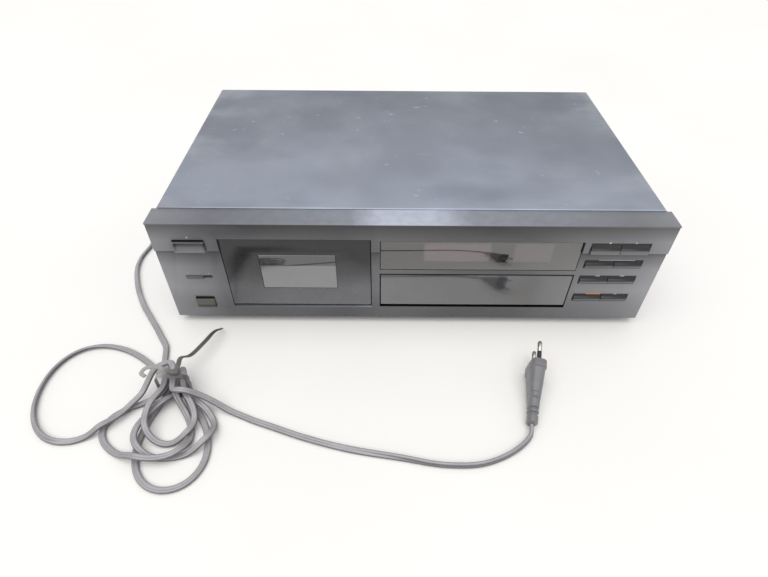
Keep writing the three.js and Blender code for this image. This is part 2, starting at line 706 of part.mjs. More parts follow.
// Door: its lower edge is rounded about the hinge, so it rolls in its opening
function hingedEdge(low, high, thick, hinge) {
  const shape = new THREE.Shape();
  const r = hinge.hingeIn;
  shape.moveTo(deep(0), up(high));
  shape.lineTo(deep(0), up(low + r));
  shape.absarc(deep(r), up(low + r), r, Math.PI, Math.PI + Math.acos((r - thick) / r));
  shape.lineTo(deep(thick), up(high));
  return shape;
}

function doorPanel() {
  const z = up(door.low + door.hingeIn);
  const y = deep(door.hingeIn);
  const around = door.pin + seatGap + door.pin / 2;
  const parts = [alongX(hingedEdge(door.low, door.high, door.thick, door), door.left, door.right)];
  for (const side of [-1, 1]) {
    const edge = side < 0 ? door.left : door.right;
    const inner = edge - side * door.ear;
    const tip = edge + side * (runGap + door.pinOut);
    parts.push(block(Math.min(edge, inner), Math.max(edge, inner), deep(door.thick / 2), y + around,
      z - around,
      z + around));
    parts.push(rodX(y, z, Math.min(inner, tip), Math.max(inner, tip), door.pin));
  }
  const floor = deep(doorWindow.inset + doorWindow.thick + seatGap);
  return cutAll(joinAll(parts), [
    block(doorWindow.left - seatGap, doorWindow.right + seatGap, deep(-cutOver), floor,
      up(doorWindow.low) - seatGap, up(doorWindow.high) + seatGap),
    through(doorWindow.left, doorWindow.right, doorWindow.low, doorWindow.high, -doorWindow.lip),
  ]);
}

function doorPane() {
  const y = deep(doorWindow.inset);
  return block(doorWindow.left, doorWindow.right, y, y + doorWindow.thick, up(doorWindow.low),
    up(doorWindow.high));
}

// Toothed outline between two angles, centred on the origin; whole gears close on themselves
function toothPoints(teeth, firstTooth, toothTotal, phase) {
  const pitch = (Math.PI * 2) / teeth;
  const radius = (gear.module * teeth) / 2;
  const tip = radius + gear.module * gear.addendumShare;
  const root = radius - gear.module * gear.dedendumShare;
  const halfTip = pitch * (gear.thicknessShare / 2 - gear.flankShare / 2);
  const halfRoot = pitch * (gear.thicknessShare / 2 + gear.flankShare / 2);
  const points = [];
  for (let i = 0; i < toothTotal; i += 1) {
    const middle = phase + (firstTooth + i) * pitch;
    for (const [r, offset] of [[root, -halfRoot], [tip, -halfTip], [tip, halfTip], [root, halfRoot]]) {
      points.push([r * Math.cos(middle + offset), r * Math.sin(middle + offset)]);
    }
  }
  return points;
}

const radians = (degrees) => (degrees * Math.PI) / 180;
const pinionAngle = radians(gear.pinionUp);
const gearSpan = (gear.module * (gear.sectorTeeth + gear.pinionTeeth)) / 2;
const pinionY = deep(door.hingeIn) + gearSpan * Math.cos(pinionAngle);
const pinionZ = up(door.low + door.hingeIn) + gearSpan * Math.sin(pinionAngle);
const holderOutside = cassette.width / 2 + holder.slack + holder.channel;

// Cassette holder: channels for the cassette's sides, ledges for its lower corners, and the gear sector
function cassetteHolder() {
  const inside = cassette.width / 2 + holder.slack;
  const low = up(cassette.low) - holder.ledgeThick;
  const high = up(cassette.low + cassette.height + holder.topOver);
  const front = deep(door.thick + seatGap);
  const back = deep(holderBack);
  const parts = [block(doorMiddle - holderOutside, doorMiddle + holderOutside, front, deep(holderInside),
    low, high)];
  for (const side of [-1, 1]) {
    const span = (a, b, y0, y1, z0, z1) => block(Math.min(doorMiddle + side * a, doorMiddle + side * b),
      Math.max(doorMiddle + side * a, doorMiddle + side * b), y0, y1, z0, z1);
    parts.push(span(inside, holderOutside, front, back + holder.channel, low, high));
    parts.push(span(inside - holder.lip, holderOutside, back, back + holder.channel, low, high));
    parts.push(span(inside - holder.ledge, holderOutside, front, back + holder.channel, low,
      low + holder.ledgeThick));
  }
  const pivotY = deep(door.hingeIn);
  const pivotZ = up(door.low + door.hingeIn);
  const toothStep = (Math.PI * 2) / gear.sectorTeeth;
  const below = Math.ceil(radians(door.swing) / toothStep) + 1;
  const rim = toothPoints(gear.sectorTeeth, -below, below + 2, pinionAngle);
  const lastAngle = pinionAngle + toothStep;
  const firstAngle = pinionAngle - below * toothStep;
  rim.push([gear.hub * Math.cos(lastAngle), gear.hub * Math.sin(lastAngle)]);
  rim.push([gear.hub * Math.cos(firstAngle), gear.hub * Math.sin(firstAngle)]);
  const sector = outlineOf(rim.map(([a, b]) => [pivotY + a, pivotZ + b]));
  const sectorOuter = doorMiddle - holderOutside - gear.width;
  parts.push(alongX(sector, sectorOuter, doorMiddle - holderOutside));
  parts.push(block(sectorOuter, doorMiddle - holderOutside + holder.channel / 2, pivotY, back, low,
    low + gear.hub * 2));
  const opening = through(doorWindow.left, doorWindow.right, cassette.low + holder.windowLow,
    cassette.low + cassette.height - holder.windowTop, 0).translate([0, door.thick, 0]);
  return joinAll(parts).subtract(opening);
}

// Damper: a small gear on a shaft, and the grease-filled drum that brakes it
function damperGear() {
  const points = toothPoints(gear.pinionTeeth, 0, gear.pinionTeeth,
    pinionAngle + Math.PI + Math.PI / gear.pinionTeeth);
  const outline = outlineOf(points.map(([a, b]) => [pinionY + a, pinionZ + b]));
  const outer = doorMiddle - holderOutside - gear.width;
  const inner = doorMiddle - holderOutside;
  return alongX(outline, outer, inner).add(
    rodX(pinionY, pinionZ, outer, doorMiddle - plate.halfWidth - damper.shaft, damper.shaft));
}

function doorDamper() {
  const outer = doorMiddle - holderOutside + seatGap * 2;
  const inner = doorMiddle - plate.halfWidth - seatGap;
  return rodX(pinionY, pinionZ, outer, inner, damper.radius, roundTurn).subtract(
    rodX(pinionY, pinionZ, outer - cutOver, inner + cutOver, damper.shaft + seatGap));
}

// Tape transport. Sideways places are measured from the middle of the door.
const plateBack = plate.front + plate.thick;
const pinchRestX = pinch.pivotSide + pinch.arm;
const pinchPlayX = pinch.pivotSide + pinch.arm * Math.cos(radians(pinch.swing));
const pinchPlayUp = pinch.pivotUp + pinch.arm * Math.sin(radians(pinch.swing));
const capstanX = doorMiddle + pinchPlayX;
const capstanUp = pinchPlayUp + pinch.roller + capstan.radius + seatGap;
const headPlateFront = plate.front - seatGap - heads.plateThick;
const armBack = headPlateFront - seatGap;
const armFront = armBack - pinch.armThick;
const tapeDepth = holderInside + holder.slack + cassette.thick / 2;

function transportPlate() {
  const left = doorMiddle - plate.halfWidth;
  const right = doorMiddle + plate.halfWidth;
  const front = deep(plate.front);
  const back = deep(plateBack);
  const low = trayTop + seatGap;
  const parts = [
    block(left, right, front, back, low, up(plate.high)),
    block(left, right, front, back + plate.foot, low, low + plate.thick),
    block(left, left + plate.thick, front, deep(bracket.front) - seatGap, low, pinionZ + damper.radius * 2),
    rodY(capstanX, up(capstanUp), front - capstan.radius * 2, back, capstan.radius * 3),
    rodY(doorMiddle + pinch.pivotSide, up(pinch.pivotUp), deep(armFront - pinch.armThick), back,
      pinch.axle * 1.2,
      smallTurn),
  ];
  const cuts = [
    rodY(capstanX, up(capstanUp), front - cutOver * 2, back + cutOver, capstan.radius + seatGap, smallTurn),
  ];
  for (const side of [-1, 1]) {
    cuts.push(rodY(doorMiddle + (side * cassette.hubPitch) / 2, up(hubHeight), front - cutOver,
      back + cutOver,
      spindle.core, roundTurn));
  }
  const window = cassette.hubPitch / 2 - spindle.flange - seatGap;
  cuts.push(block(doorMiddle - window, doorMiddle + window, front - cutOver, back + cutOver,
    up(hubHeight) - spindle.flange, up(hubHeight) + spindle.flange));
  return cutAll(joinAll(parts), cuts);
}

// Hub that turns the tape: three fins on a core, a flange and a disc behind the plate
function spindleHub(side) {
  const x = doorMiddle + (side * cassette.hubPitch) / 2;
  const z = up(hubHeight);
  const shaft = spindle.core - seatGap;
  const flangeBack = deep(plate.front) - seatGap;
  const flangeFront = flangeBack - spindle.flangeThick;
  const discFront = deep(plateBack) + seatGap;
  const parts = [
    rodY(x, z, deep(spindle.reach), deep(spindle.reach) + spindle.tip, spindle.tip / 2, roundTurn, shaft),
    rodY(x, z, deep(spindle.reach) + spindle.tip, discFront + spindle.discThick, shaft),
    rodY(x, z, flangeFront, flangeBack, spindle.flange, roundTurn),
    rodY(x, z, discFront, discFront + spindle.discThick, spindle.disc, roundTurn),
  ];
  for (let i = 0; i < spindle.finCount; i += 1) {
    const geometry = new THREE.BoxGeometry(spindle.finWidth,
      flangeFront - deep(spindle.reach) - spindle.tip, spindle.fin);
    geometry.translate(0, (flangeFront + deep(spindle.reach) + spindle.tip) / 2, spindle.fin / 2);
    geometry.rotateY((i * Math.PI * 2) / spindle.finCount);
    geometry.translate(x, 0, z);
    parts.push(toSolid(geometry));
  }
  return joinAll(parts);
}

// Sliding plate that lifts the heads into the cassette
const shelfTop = heads.low + heads.shelf * 3;
function headPlate() {
  const left = doorMiddle + heads.left;
  const right = doorMiddle + heads.right;
  const front = deep(headPlateFront);
  const back = front + heads.plateThick;
  return joinAll([
    block(left, right, front, back, up(heads.low), up(heads.high)),
    block(left + heads.shelf * 2, right - heads.shelf * 2, deep(heads.front), back,
      up(shelfTop - heads.shelf),
      up(shelfTop)),
  ]);
}

function headSolid(side, sizes) {
  const x = doorMiddle + side;
  const half = sizes.width / 2;
  const base = up(shelfTop) + seatGap;
  const top = up(sizes.top);
  const shape = new THREE.Shape();
  shape.moveTo(x - half, base);
  shape.lineTo(x + half, base);
  shape.lineTo(x + half, top - sizes.crown);
  shape.quadraticCurveTo(x, top + sizes.crown, x - half, top - sizes.crown);
  const y = deep(tapeDepth);
  return alongY(shape, y - sizes.depth / 2, y + sizes.depth / 2);
}

// Pinch roller on its swinging arm
function pinchArm() {
  const x0 = doorMiddle + pinch.pivotSide;
  const x1 = doorMiddle + pinchRestX;
  const z = up(pinch.pivotUp);
  const y0 = deep(armFront);
  const y1 = deep(armBack);
  const half = pinch.hub / 2;
  return joinAll([
    rodY(x0, z, y0, y1, pinch.hub, roundTurn),
    rodY(x1, z, y0, y1, pinch.hub, roundTurn),
    block(x0, x1, y0, y1, z - half, z + half),
    rodY(x1, z, y0 - seatGap * 2 - pinch.length, y1, pinch.axle, smallTurn),
  ]).subtract(rodY(x0, z, y0 - cutOver, y1 + cutOver, pinch.axle * 1.2 + seatGap, smallTurn));
}

function pinchRoller() {
  const x = doorMiddle + pinchRestX;
  const z = up(pinch.pivotUp);
  const back = deep(armFront) - seatGap;
  return rodY(x, z, back - pinch.length, back, pinch.roller, roundTurn).subtract(
    rodY(x, z, back - pinch.length - cutOver, back + cutOver, pinch.axle + seatGap, smallTurn));
}

// Capstan shaft pressed into its flywheel
function capstanFlywheel() {
  const y0 = deep(capstan.wheelFront);
  const y1 = y0 + capstan.wheelThick;
  const x = capstanX;
  const z = up(capstanUp);
  const webFront = (capstan.wheelThick - capstan.web) / 2;
  const wheel = rodY(x, z, y0, y1, capstan.wheel, fineTurn);
  const hollow = capstan.wheel - capstan.rim;
  const hub = capstan.radius * 4;
  const dish = (a, b) => rodY(x, z, a, b, hollow, roundTurn).subtract(
    rodY(x, z, a - cutOver, b + cutOver, hub, roundTurn));
  return cutAll(wheel, [dish(y0 - cutOver, y0 + webFront), dish(y1 - webFront, y1 + cutOver)]).add(
    rodY(x, z, deep(capstan.reach), deep(bracket.front + bracket.thick / 2), capstan.radius, smallTurn));
}

const beltY = deep(capstan.wheelFront) + capstan.wheelThick / 2;

// Flat belt from the motor pulley round the flywheel
function beltOutline(grow) {
  const x0 = doorMiddle + motor.side;
  const z0 = up(motor.up);
  const r0 = motor.pulley + seatGap + grow;
  const x1 = capstanX;
  const z1 = up(capstanUp);
  const r1 = capstan.wheel + seatGap + grow;
  const along = Math.atan2(z1 - z0, x1 - x0);
  const lean = Math.acos((r0 - r1) / Math.hypot(x1 - x0, z1 - z0));
  const points = [];
  const sweepBetween = (x, z, r, from, to, steps) => {
    for (let i = 0; i <= steps; i += 1) {
      const angle = from + ((to - from) * i) / steps;
      points.push([x + r * Math.cos(angle), z + r * Math.sin(angle)]);
    }
  };
  sweepBetween(x1, z1, r1, along - lean, along + lean, fineTurn);
  sweepBetween(x0, z0, r0, along + lean, along - lean + Math.PI * 2, smallTurn);
  return points;
}

function driveBelt() {
  const y0 = beltY - belt.width / 2;
  const y1 = beltY + belt.width / 2;
  return alongY(outlineOf(beltOutline(belt.thick)), y0, y1).subtract(
    alongY(outlineOf(beltOutline(0)), y0 - cutOver, y1 + cutOver));
}

// Rear bracket on posts: bears the flywheel and carries the motor
function flywheelBracket() {
  const front = deep(bracket.front);
  const back = front + bracket.thick;
  const parts = [block(doorMiddle - bracket.halfWidth, doorMiddle + bracket.halfWidth, front, back,
    up(bracket.low),
    up(bracket.high))];
  for (const [x, z] of bracketPosts) {
    parts.push(rodY(doorMiddle + x, up(z), deep(plateBack) + seatGap, back, bracket.post, smallTurn));
  }
  return cutAll(joinAll(parts), [
    rodY(capstanX, up(capstanUp), front - cutOver, back + cutOver, capstan.radius + seatGap, smallTurn),
    rodY(doorMiddle + motor.side, up(motor.up), front - cutOver, back + cutOver, motor.flange, smallTurn),
  ]);
}

function capstanMotor() {
  const front = deep(bracket.front + bracket.thick) + seatGap;
  const x = doorMiddle + motor.side;
  const z = up(motor.up);
  return rodY(x, z, front, front + motor.length, motor.radius, fineTurn).subtract(
    rodY(x, z, front - cutOver, front + motor.flange, motor.shaft + seatGap, smallTurn));
}

function motorPulley() {
  const x = doorMiddle + motor.side;
  const z = up(motor.up);
  const y0 = beltY - belt.width / 2 - seatGap;
  const y1 = beltY + belt.width / 2 + seatGap;
  const shaftEnd = deep(bracket.front + bracket.thick) + motor.flange / 2;
  return joinAll([
    rodY(x, z, y0 - motor.flangeThick, y1 + motor.flangeThick, motor.pulley, roundTurn),
    rodY(x, z, y0 - motor.flangeThick, y0, motor.flange - seatGap, roundTurn),
    rodY(x, z, y1, y1 + motor.flangeThick, motor.flange - seatGap, roundTurn),
    rodY(x, z, y1, shaftEnd, motor.shaft, smallTurn),
  ]);
}

// Power button: a framed, scooped face on a stem that runs into its switch
function powerButton() {
  const front = deep(upperFace - power.proud);
  const middle = up((power.low + power.high) / 2);
  const scoopDepth = power.rim * 1.4;
  const collar = deep(panel.wall) + seatGap;
  const over = power.rim + key.gap;
  return joinAll([
    block(power.left, power.right, front, collar + power.rim, up(power.low), up(power.high)),
    block(power.left - over, power.right + over, collar, collar + power.rim, up(power.low), up(power.high)),
    rodY((power.left + power.right) / 2, middle, collar, deep(power.switchFront + power.travel),
      power.stem),
  ]).subtract(rodX(front + scoopDepth - power.scoop, middle, power.left + power.rim, power.right - power.rim,
    power.scoop, fineTurn));
}

function powerSwitch() {
  const x = (power.left + power.right) / 2;
  const z = up((power.low + power.high) / 2);
  const y = deep(power.switchFront);
  return block(x - power.switchWidth / 2, x + power.switchWidth / 2, y, y + power.switchDepth,
    z - power.switchHeight / 2, z + power.switchHeight / 2).subtract(
    rodY(x, z, y - cutOver, y + power.travel * 3, power.stem + seatGap));
}

// Three-position slider in its slot, with the switch behind it
function timerKnob() {
  const left = timer.left + seatGap;
  const right = left + timer.knob;
  const low = up(timer.low) + seatGap;
  const high = up(timer.high) - seatGap;
  const collar = deep(panel.wall) + seatGap;
  return joinAll([
    block(left, right, deep(-timer.proud), deep(timer.back), low, high),
    block(left - timer.collar, right + timer.collar, collar, collar + timer.collarThick, low - timer.collar,
      high + timer.collar),
  ]);
}

function timerSwitch() {
  const y = deep(timer.back) + seatGap;
  return block(timer.left - timer.switchOver, timer.right + timer.switchOver, y, y + timer.switchDepth,
    up(timer.low) - timer.switchOver, up(timer.high) + timer.switchOver);
}

// Eject button with a sloping top under its finger well
function ejectButton() {
  const slope = eject.wellTop - eject.high;
  const back = deep(panel.wall + seatGap + key.lugThick);
  const outline = outlineOf([
    [deep(-eject.proud), up(eject.low)], [back, up(eject.low)], [back, up(eject.high)], [deep(0),
      up(eject.high)],
    [deep(-eject.proud), up(eject.high) - slope / 2],
  ]);
  const collar = deep(panel.wall) + seatGap;
  const over = key.gap + key.lug;
  return joinAll([
    alongX(outline, eject.left, eject.right),
    block(eject.left - over, eject.right + over, collar, collar + key.lugThick, up(eject.low),
      up(eject.high)),
    rodY((eject.left + eject.right) / 2, up((eject.low + eject.high) / 2), collar, deep(eject.back),
      eject.stem,
      smallTurn),
  ]);
}

// Thin key: upright front face with a hollowed slope above it
function keySolid(row, left, right) {
  const height = row.high - row.low;
  const face = row.upper ? upperFace : 0;
  const front = deep(face - row.proud);
  const shoulder = up(row.low + height * key.frontShare);
  const collar = deep(panel.wall) + seatGap;
  const back = deep(key.back);
  const shape = new THREE.Shape();
  shape.moveTo(front, up(row.low));
  shape.lineTo(back, up(row.low));
  shape.lineTo(back, up(row.high));
  shape.lineTo(deep(face + key.topDepth), up(row.high));
  shape.quadraticCurveTo(deep(face + key.topDepth) - row.proud / 2, shoulder + seatGap, front, shoulder);
  const x = (left + right) / 2;
  const z = up((row.low + row.high) / 2);
  const stemEnd = deep(board.front - board.switchDepth - key.travel - seatGap);
  return joinAll([
    alongX(shape, left, right),
    block(left, right, collar, collar + key.lugThick, up(row.low) - key.lug, up(row.high) + key.lug),
    rodY(x, z, back - key.stem, stemEnd, key.stem, smallTurn),
  ]);
}

// Flap over the small controls; its lower edge is rounded about the hinge as well
function controlFlap() {
  const y = deep(flap.hingeIn);
  const z = up(flap.low + flap.hingeIn);
  const around = flap.pin + seatGap + flap.pin / 2;
  const parts = [alongX(hingedEdge(flap.low, flap.high, flap.thick, flap), flap.left, flap.right)];
  for (const side of [-1, 1]) {
    const edge = side < 0 ? flap.left : flap.right;
    const inner = edge - side * flap.pinOut;
    const tip = edge + side * (runGap + flap.pinOut);
    parts.push(block(Math.min(edge, inner), Math.max(edge, inner), deep(flap.thick / 2), y + around,
      z - around,
      z + around));
    parts.push(rodX(y, z, Math.min(inner, tip), Math.max(inner, tip), flap.pin));
  }
  return joinAll(parts);
}

// Well behind the flap
const wellFront = panel.wall + seatGap;
const wellFloor = wellFront + well.depth - well.wall;
const wellBack = wellFront + well.depth;
function controlWell() {
  const inner = runGap;
  const shell = block(flap.left - well.over, flap.right + well.over, deep(wellFront), deep(wellBack),
    up(flap.low) - well.over, up(flap.high) + well.over);
  const hollow = block(flap.left - inner, flap.right + inner, deep(wellFront) - cutOver, deep(wellFloor),
    up(flap.low) - inner, up(flap.high) + inner);
  const hole = (side, height, radius) => rodY(side, up(height), deep(wellFloor) - cutOver,
    deep(wellBack) + cutOver,
    radius + seatGap, smallTurn);
  const cuts = [
    hollow,
    hole(levelSide, flapMiddle, levelKnob.shaft),
    hole(balanceSide, flapMiddle, smallKnob.shaft),
    hole(biasSide, flapMiddle, smallKnob.shaft),
    hole(phonesSide, flapMiddle, phones.collar - seatGap * 3),
    block(sliderSide - slider.slot / 2, sliderSide + slider.slot / 2, deep(wellFloor) - cutOver,
      deep(wellBack) + cutOver, up(flapMiddle) - slider.slotHeight / 2, up(flapMiddle) + slider.slotHeight / 2),
  ];
  for (const side of [-1, 1]) {
    const edge = side < 0 ? flap.left : flap.right;
    const boss = hingeBoss(edge, side, flap.low, flap);
    for (const dy of [-seatGap, seatGap]) {
      for (const dz of [-seatGap, seatGap]) {
        cuts.push(boss.translate([0, dy, dz]));
      }
    }
    cuts.push(boss.translate([side * -runGap, seatGap, 0]));
  }
  return cutAll(shell, cuts);
}

// Turning knob with fluted edge and a pointer groove
function knobSolid(side, sizes) {
  const x = side;
  const z = up(flapMiddle);
  const back = deep(wellFloor) - seatGap;
  const front = back - sizes.depth;
  const outline = [];
  for (let i = 0; i < sizes.flutes * 2; i += 1) {
    const angle = (i * Math.PI) / sizes.flutes;
    const radius = sizes.radius * (i % 2 === 0 ? 1 : sizes.fluteShare);
    outline.push([x + radius * Math.cos(angle), z + radius * Math.sin(angle)]);
  }
  return joinAll([
    alongY(outlineOf(outline), front, back),
    rodY(x, z, back - seatGap, deep(wellBack), sizes.shaft, smallTurn),
  ]).subtract(block(x - sizes.shaft / 4, x + sizes.shaft / 4, front - cutOver, front + sizes.shaft / 4,
    z + sizes.radius / 3, z + sizes.radius + cutOver));
}

// Slide switch behind the flap: its knob runs in the slot of the well
function sliderKnob() {
  const x = sliderSide - slider.slot / 2 + seatGap;
  const half = slider.slotHeight / 2 - seatGap;
  const back = deep(wellBack);
  return joinAll([
    block(x, x + slider.knob, deep(wellFloor) - slider.depth, back + seatGap, up(flapMiddle) - half,
      up(flapMiddle) + half),
    block(x - seatGap * 4, x + slider.knob + seatGap * 4, back + seatGap,
      back + seatGap + slider.slotHeight / 2,
      up(flapMiddle) - slider.slotHeight, up(flapMiddle) + slider.slotHeight),
  ]);
}

// Headphone socket
function phonesSocket() {
  const x = phonesSide;
  const z = up(flapMiddle);
  const floor = deep(wellFloor);
  const back = deep(wellBack) + seatGap;
  const half = phones.body;
  return joinAll([
    rodY(x, z, floor - seatGap - phones.collarOut, floor - seatGap, phones.collar, roundTurn),
    rodY(x, z, floor - seatGap * 2, back + seatGap, phones.collar - seatGap * 4, roundTurn),
    block(x - half, x + half, back, back + phones.depth - well.wall, z - half, z + half),
  ]).subtract(rodY(x, z, floor - phones.collarOut - cutOver, back + phones.depth - well.wall * 2, phones.bore,
    roundTurn));
}

// Mains transformer: stacked core with its winding
function transformer() {
  const base = trayTop + seatGap;
  const half = mains.width / 2;
  const y0 = deep(mains.front);
  const y1 = y0 + mains.depth;
  const middle = (y0 + y1) / 2;
  const coreHalf = mains.depth / 3;
  const wind = half - mains.window;
  return joinAll([
    block(mains.side - half, mains.side + half, middle - coreHalf, middle + coreHalf, base,
      base + mains.height),
    alongZ(roundedOutline(mains.side - wind, mains.side + wind, y0, y1, mains.bobbin), base + mains.window,
      base + mains.height - mains.window),
    block(mains.side - half - mains.window, mains.side + half + mains.window, middle - coreHalf,
      middle + coreHalf,
      base, base + sheet),
  ]);
}

// Main board on its stand-offs, with capacitors and chips
function mainBoardSolid() {
  const base = trayTop + mainBoard.post + seatGap;
  const top = base + mainBoard.thick;
  const parts = [block(mainBoard.left, mainBoard.right, deep(mainBoard.front), deep(mainBoard.rear), base,
    top)];
  const pitch = (mainBoard.rear - mainBoard.front) / 5;
  for (let i = 1; i <= 4; i += 1) {
    const y = deep(mainBoard.front + i * pitch);
    const x = mainBoard.left + mainBoard.capRadius * 3;
    parts.push(rodZ(x, y, top - mainBoard.thick / 2, top + mainBoard.capHeight, mainBoard.capRadius,
      roundTurn));
    const chip = mainBoard.left + pitch * 3;
    parts.push(block(chip, chip + pitch, y - mainBoard.capRadius, y + mainBoard.capRadius,
      top - mainBoard.thick / 2,
      top + mainBoard.chipHeight));
  }
  return joinAll(parts);
}

// Section of the flat lead, as eight corners. The first number runs through its thickness.
function leadSection() {
  const t = cord.thick / 2;
  const w = cord.width / 2;
  const flat = w - t * (1 - cord.edgeShare);
  const round = t * cord.edgeShare;
  return outlineOf([[t, flat], [round, w], [-round, w], [-t, flat], [-t, -flat], [-round, -w], [round, -w],
    [t, -flat]]);
}

// Curve whose frames keep a flat section level across it
class LevelCurve extends THREE.CatmullRomCurve3 {
  computeFrenetFrames(segments) {
    const frames = { tangents: [], normals: [], binormals: [] };
    for (let i = 0; i <= segments; i += 1) {
      const along = this.getTangentAt(i / segments);
      const across = new THREE.Vector3(along.y, -along.x, 0).normalize();
      frames.tangents.push(along);
      frames.binormals.push(across);
      frames.normals.push(new THREE.Vector3().crossVectors(across, along));
    }
    return frames;
  }
}

function leadAlong(points) {
  const curve = new LevelCurve(points.map(([x, y, z]) => new THREE.Vector3(x, y, z)), false, 'centripetal');
  const steps = Math.round(curve.getLength() / (cord.width * 2));
  return new THREE.ExtrudeGeometry(leadSection(), { steps, bevelEnabled: false, extrudePath: curve });
}

// Plan of the bundle: every strand passes the tie in a column, so the loops start and end there
const headingOf = (degrees) => [Math.cos(radians(degrees)), Math.sin(radians(degrees))];
const smooth = (t) => t * t * (3 - 2 * t);

function petal(from, to, loop) {
  const [hx, hy] = headingOf(loop.heading);
  const swell = loop.breadth / 2 / petalWidest;
  const points = [];
  for (let i = 1; i < planSteps; i += 1) {
    const t = i / planSteps;
    const out = Math.sin(Math.PI * t) ** 2 * loop.reach;
    const aside = Math.sin(2 * Math.PI * t) * Math.sin(Math.PI * t) ** fullnessShare * swell * loop.sense;
    points.push([
      from[0] + (to[0] - from[0]) * smooth(t) + hx * out + hy * aside,
      from[1] + (to[1] - from[1]) * smooth(t) + hy * out - hx * aside,
    ]);
  }
  return points;
}

// Curve between two places with the direction and the reach of its ends
function bend(from, fromHeading, fromReach, to, toHeading, toReach) {
  const [ax, ay] = headingOf(fromHeading);
  const [bx, by] = headingOf(toHeading);
  const curve = new THREE.CubicBezierCurve(
    new THREE.Vector2(from[0], from[1]),
    new THREE.Vector2(from[0] + ax * fromReach, from[1] + ay * fromReach),
    new THREE.Vector2(to[0] - bx * toReach, to[1] - by * toReach),
    new THREE.Vector2(to[0], to[1]));
  return curve.getSpacedPoints(planSteps).map((point) => [point.x, point.y]);
}

function bundlePlan() {
  const column = (index) => knot.x + index * knot.columnPitch;
  const upper = (index) => [column(index), knot.y + knot.reach];
  const lower = (index) => [column(index), knot.y - knot.reach];
  const start = [bundleStart.x, bundleStart.y];
  const [sx, sy] = headingOf(bundleStart.heading);
  const straight = [start[0] + sx * cord.width * 1.5, start[1] + sy * cord.width * 1.5];
  const points = [start, ...bend(straight, bundleStart.heading, knot.topReach, upper(lowerLoops[0].from),
    -90, knot.topReach)];
  lowerLoops.forEach((loop, i) => {
    points.push(lower(loop.from), ...petal(lower(loop.from), lower(loop.to), loop), lower(loop.to),
      upper(loop.to));
    const next = lowerLoops[i + 1];
    if (next) {
      points.push(...bend(upper(loop.to), 90, knot.topReach, upper(next.from), -90, knot.topReach));
    }
  });
  const last = lowerLoops[lowerLoops.length - 1];
  const out = [bigLoop.x, bigLoop.y];
  const lean = (Math.atan(bigLoop.breadth / petalWidest / bigLoop.reach) * 180) / Math.PI;
  points.push(...bend(upper(last.to), 90, knot.side, out, bigLoop.heading - lean, knot.side));
  const back = [bigLoop.x, bigLoop.y - bigLoop.spread];
  points.push(...petal(out, back, bigLoop));
  points.push(...bend(back, bigLoop.heading + lean - 180, knot.topReach, upper(0), -90, knot.topReach));
  const turn = [tailTurn.x, tailTurn.y];
  points.push(lower(0), ...bend(lower(0), -90, knot.side, turn, tailTurn.heading, knot.side));
  const end = [bundleEnd.x, bundleEnd.y];
  points.push(...bend(turn, tailTurn.heading, knot.side, end, bundleEnd.heading, knot.side));
  return points;
}

// Even steps along the plan, rounded a little so that no corner stays
function evenSteps(points, count) {
  const measured = [0];
  for (let i = 1; i < points.length; i += 1) {
    measured.push(measured[i - 1] + Math.hypot(points[i][0] - points[i - 1][0],
      points[i][1] - points[i - 1][1]));
  }
  const total = measured[measured.length - 1];
  const even = [];
  let k = 0;
  for (let i = 0; i <= count; i += 1) {
    const want = (total * i) / count;
    while (k < measured.length - 2 && measured[k + 1] < want) k += 1;
    const span = measured[k + 1] - measured[k];
    const share = span > 0 ? (want - measured[k]) / span : 0;
    even.push([0, 1].map((axis) => points[k][axis] + (points[k + 1][axis] - points[k][axis]) * share));
  }
  return even;
}

function rounded(points, rounds) {
  let now = points;
  for (let round = 0; round < rounds; round += 1) {
    const before = now;
    now = before.map((point, i) => (i < 2 || i > before.length - 3 ? point
      : [0, 1].map((axis) => (before[i - 1][axis] + point[axis] * 2 + before[i + 1][axis]) / 4)));
  }
  return now;
}

// Nearest pass of two plan segments: the distance and the place on each
function nearestPass(a, b, c, d) {
  const ends = [[a, c, d, 0], [b, c, d, 1]].map(([p, q, r, s]) => [p, q, r, s, false]);
  ends.push([c, a, b, 0, true], [d, a, b, 1, true]);
  let best = { distance: Infinity, s: 0, t: 0 };
  for (const [p, q, r, s, swapped] of ends) {
    const dx = r[0] - q[0];
    const dy = r[1] - q[1];
    const share = Math.min(1, Math.max(0, ((p[0] - q[0]) * dx + (p[1] - q[1]) * dy) / (dx * dx + dy * dy)));
    const distance = Math.hypot(q[0] + dx * share - p[0], q[1] + dy * share - p[1]);
    if (distance < best.distance) best = { distance, s: swapped ? share : s, t: swapped ? s : share };
  }
  const ux = b[0] - a[0];
  const uy = b[1] - a[1];
  const vx = d[0] - c[0];
  const vy = d[1] - c[1];
  const cross = ux * vy - uy * vx;
  if (cross !== 0) {
    const s = ((c[0] - a[0]) * vy - (c[1] - a[1]) * vx) / cross;
    const t = ((c[0] - a[0]) * uy - (c[1] - a[1]) * ux) / cross;
    if (s >= 0 && s <= 1 && t >= 0 && t <= 1) best = { distance: 0, s, t };
  }
  return best;
}

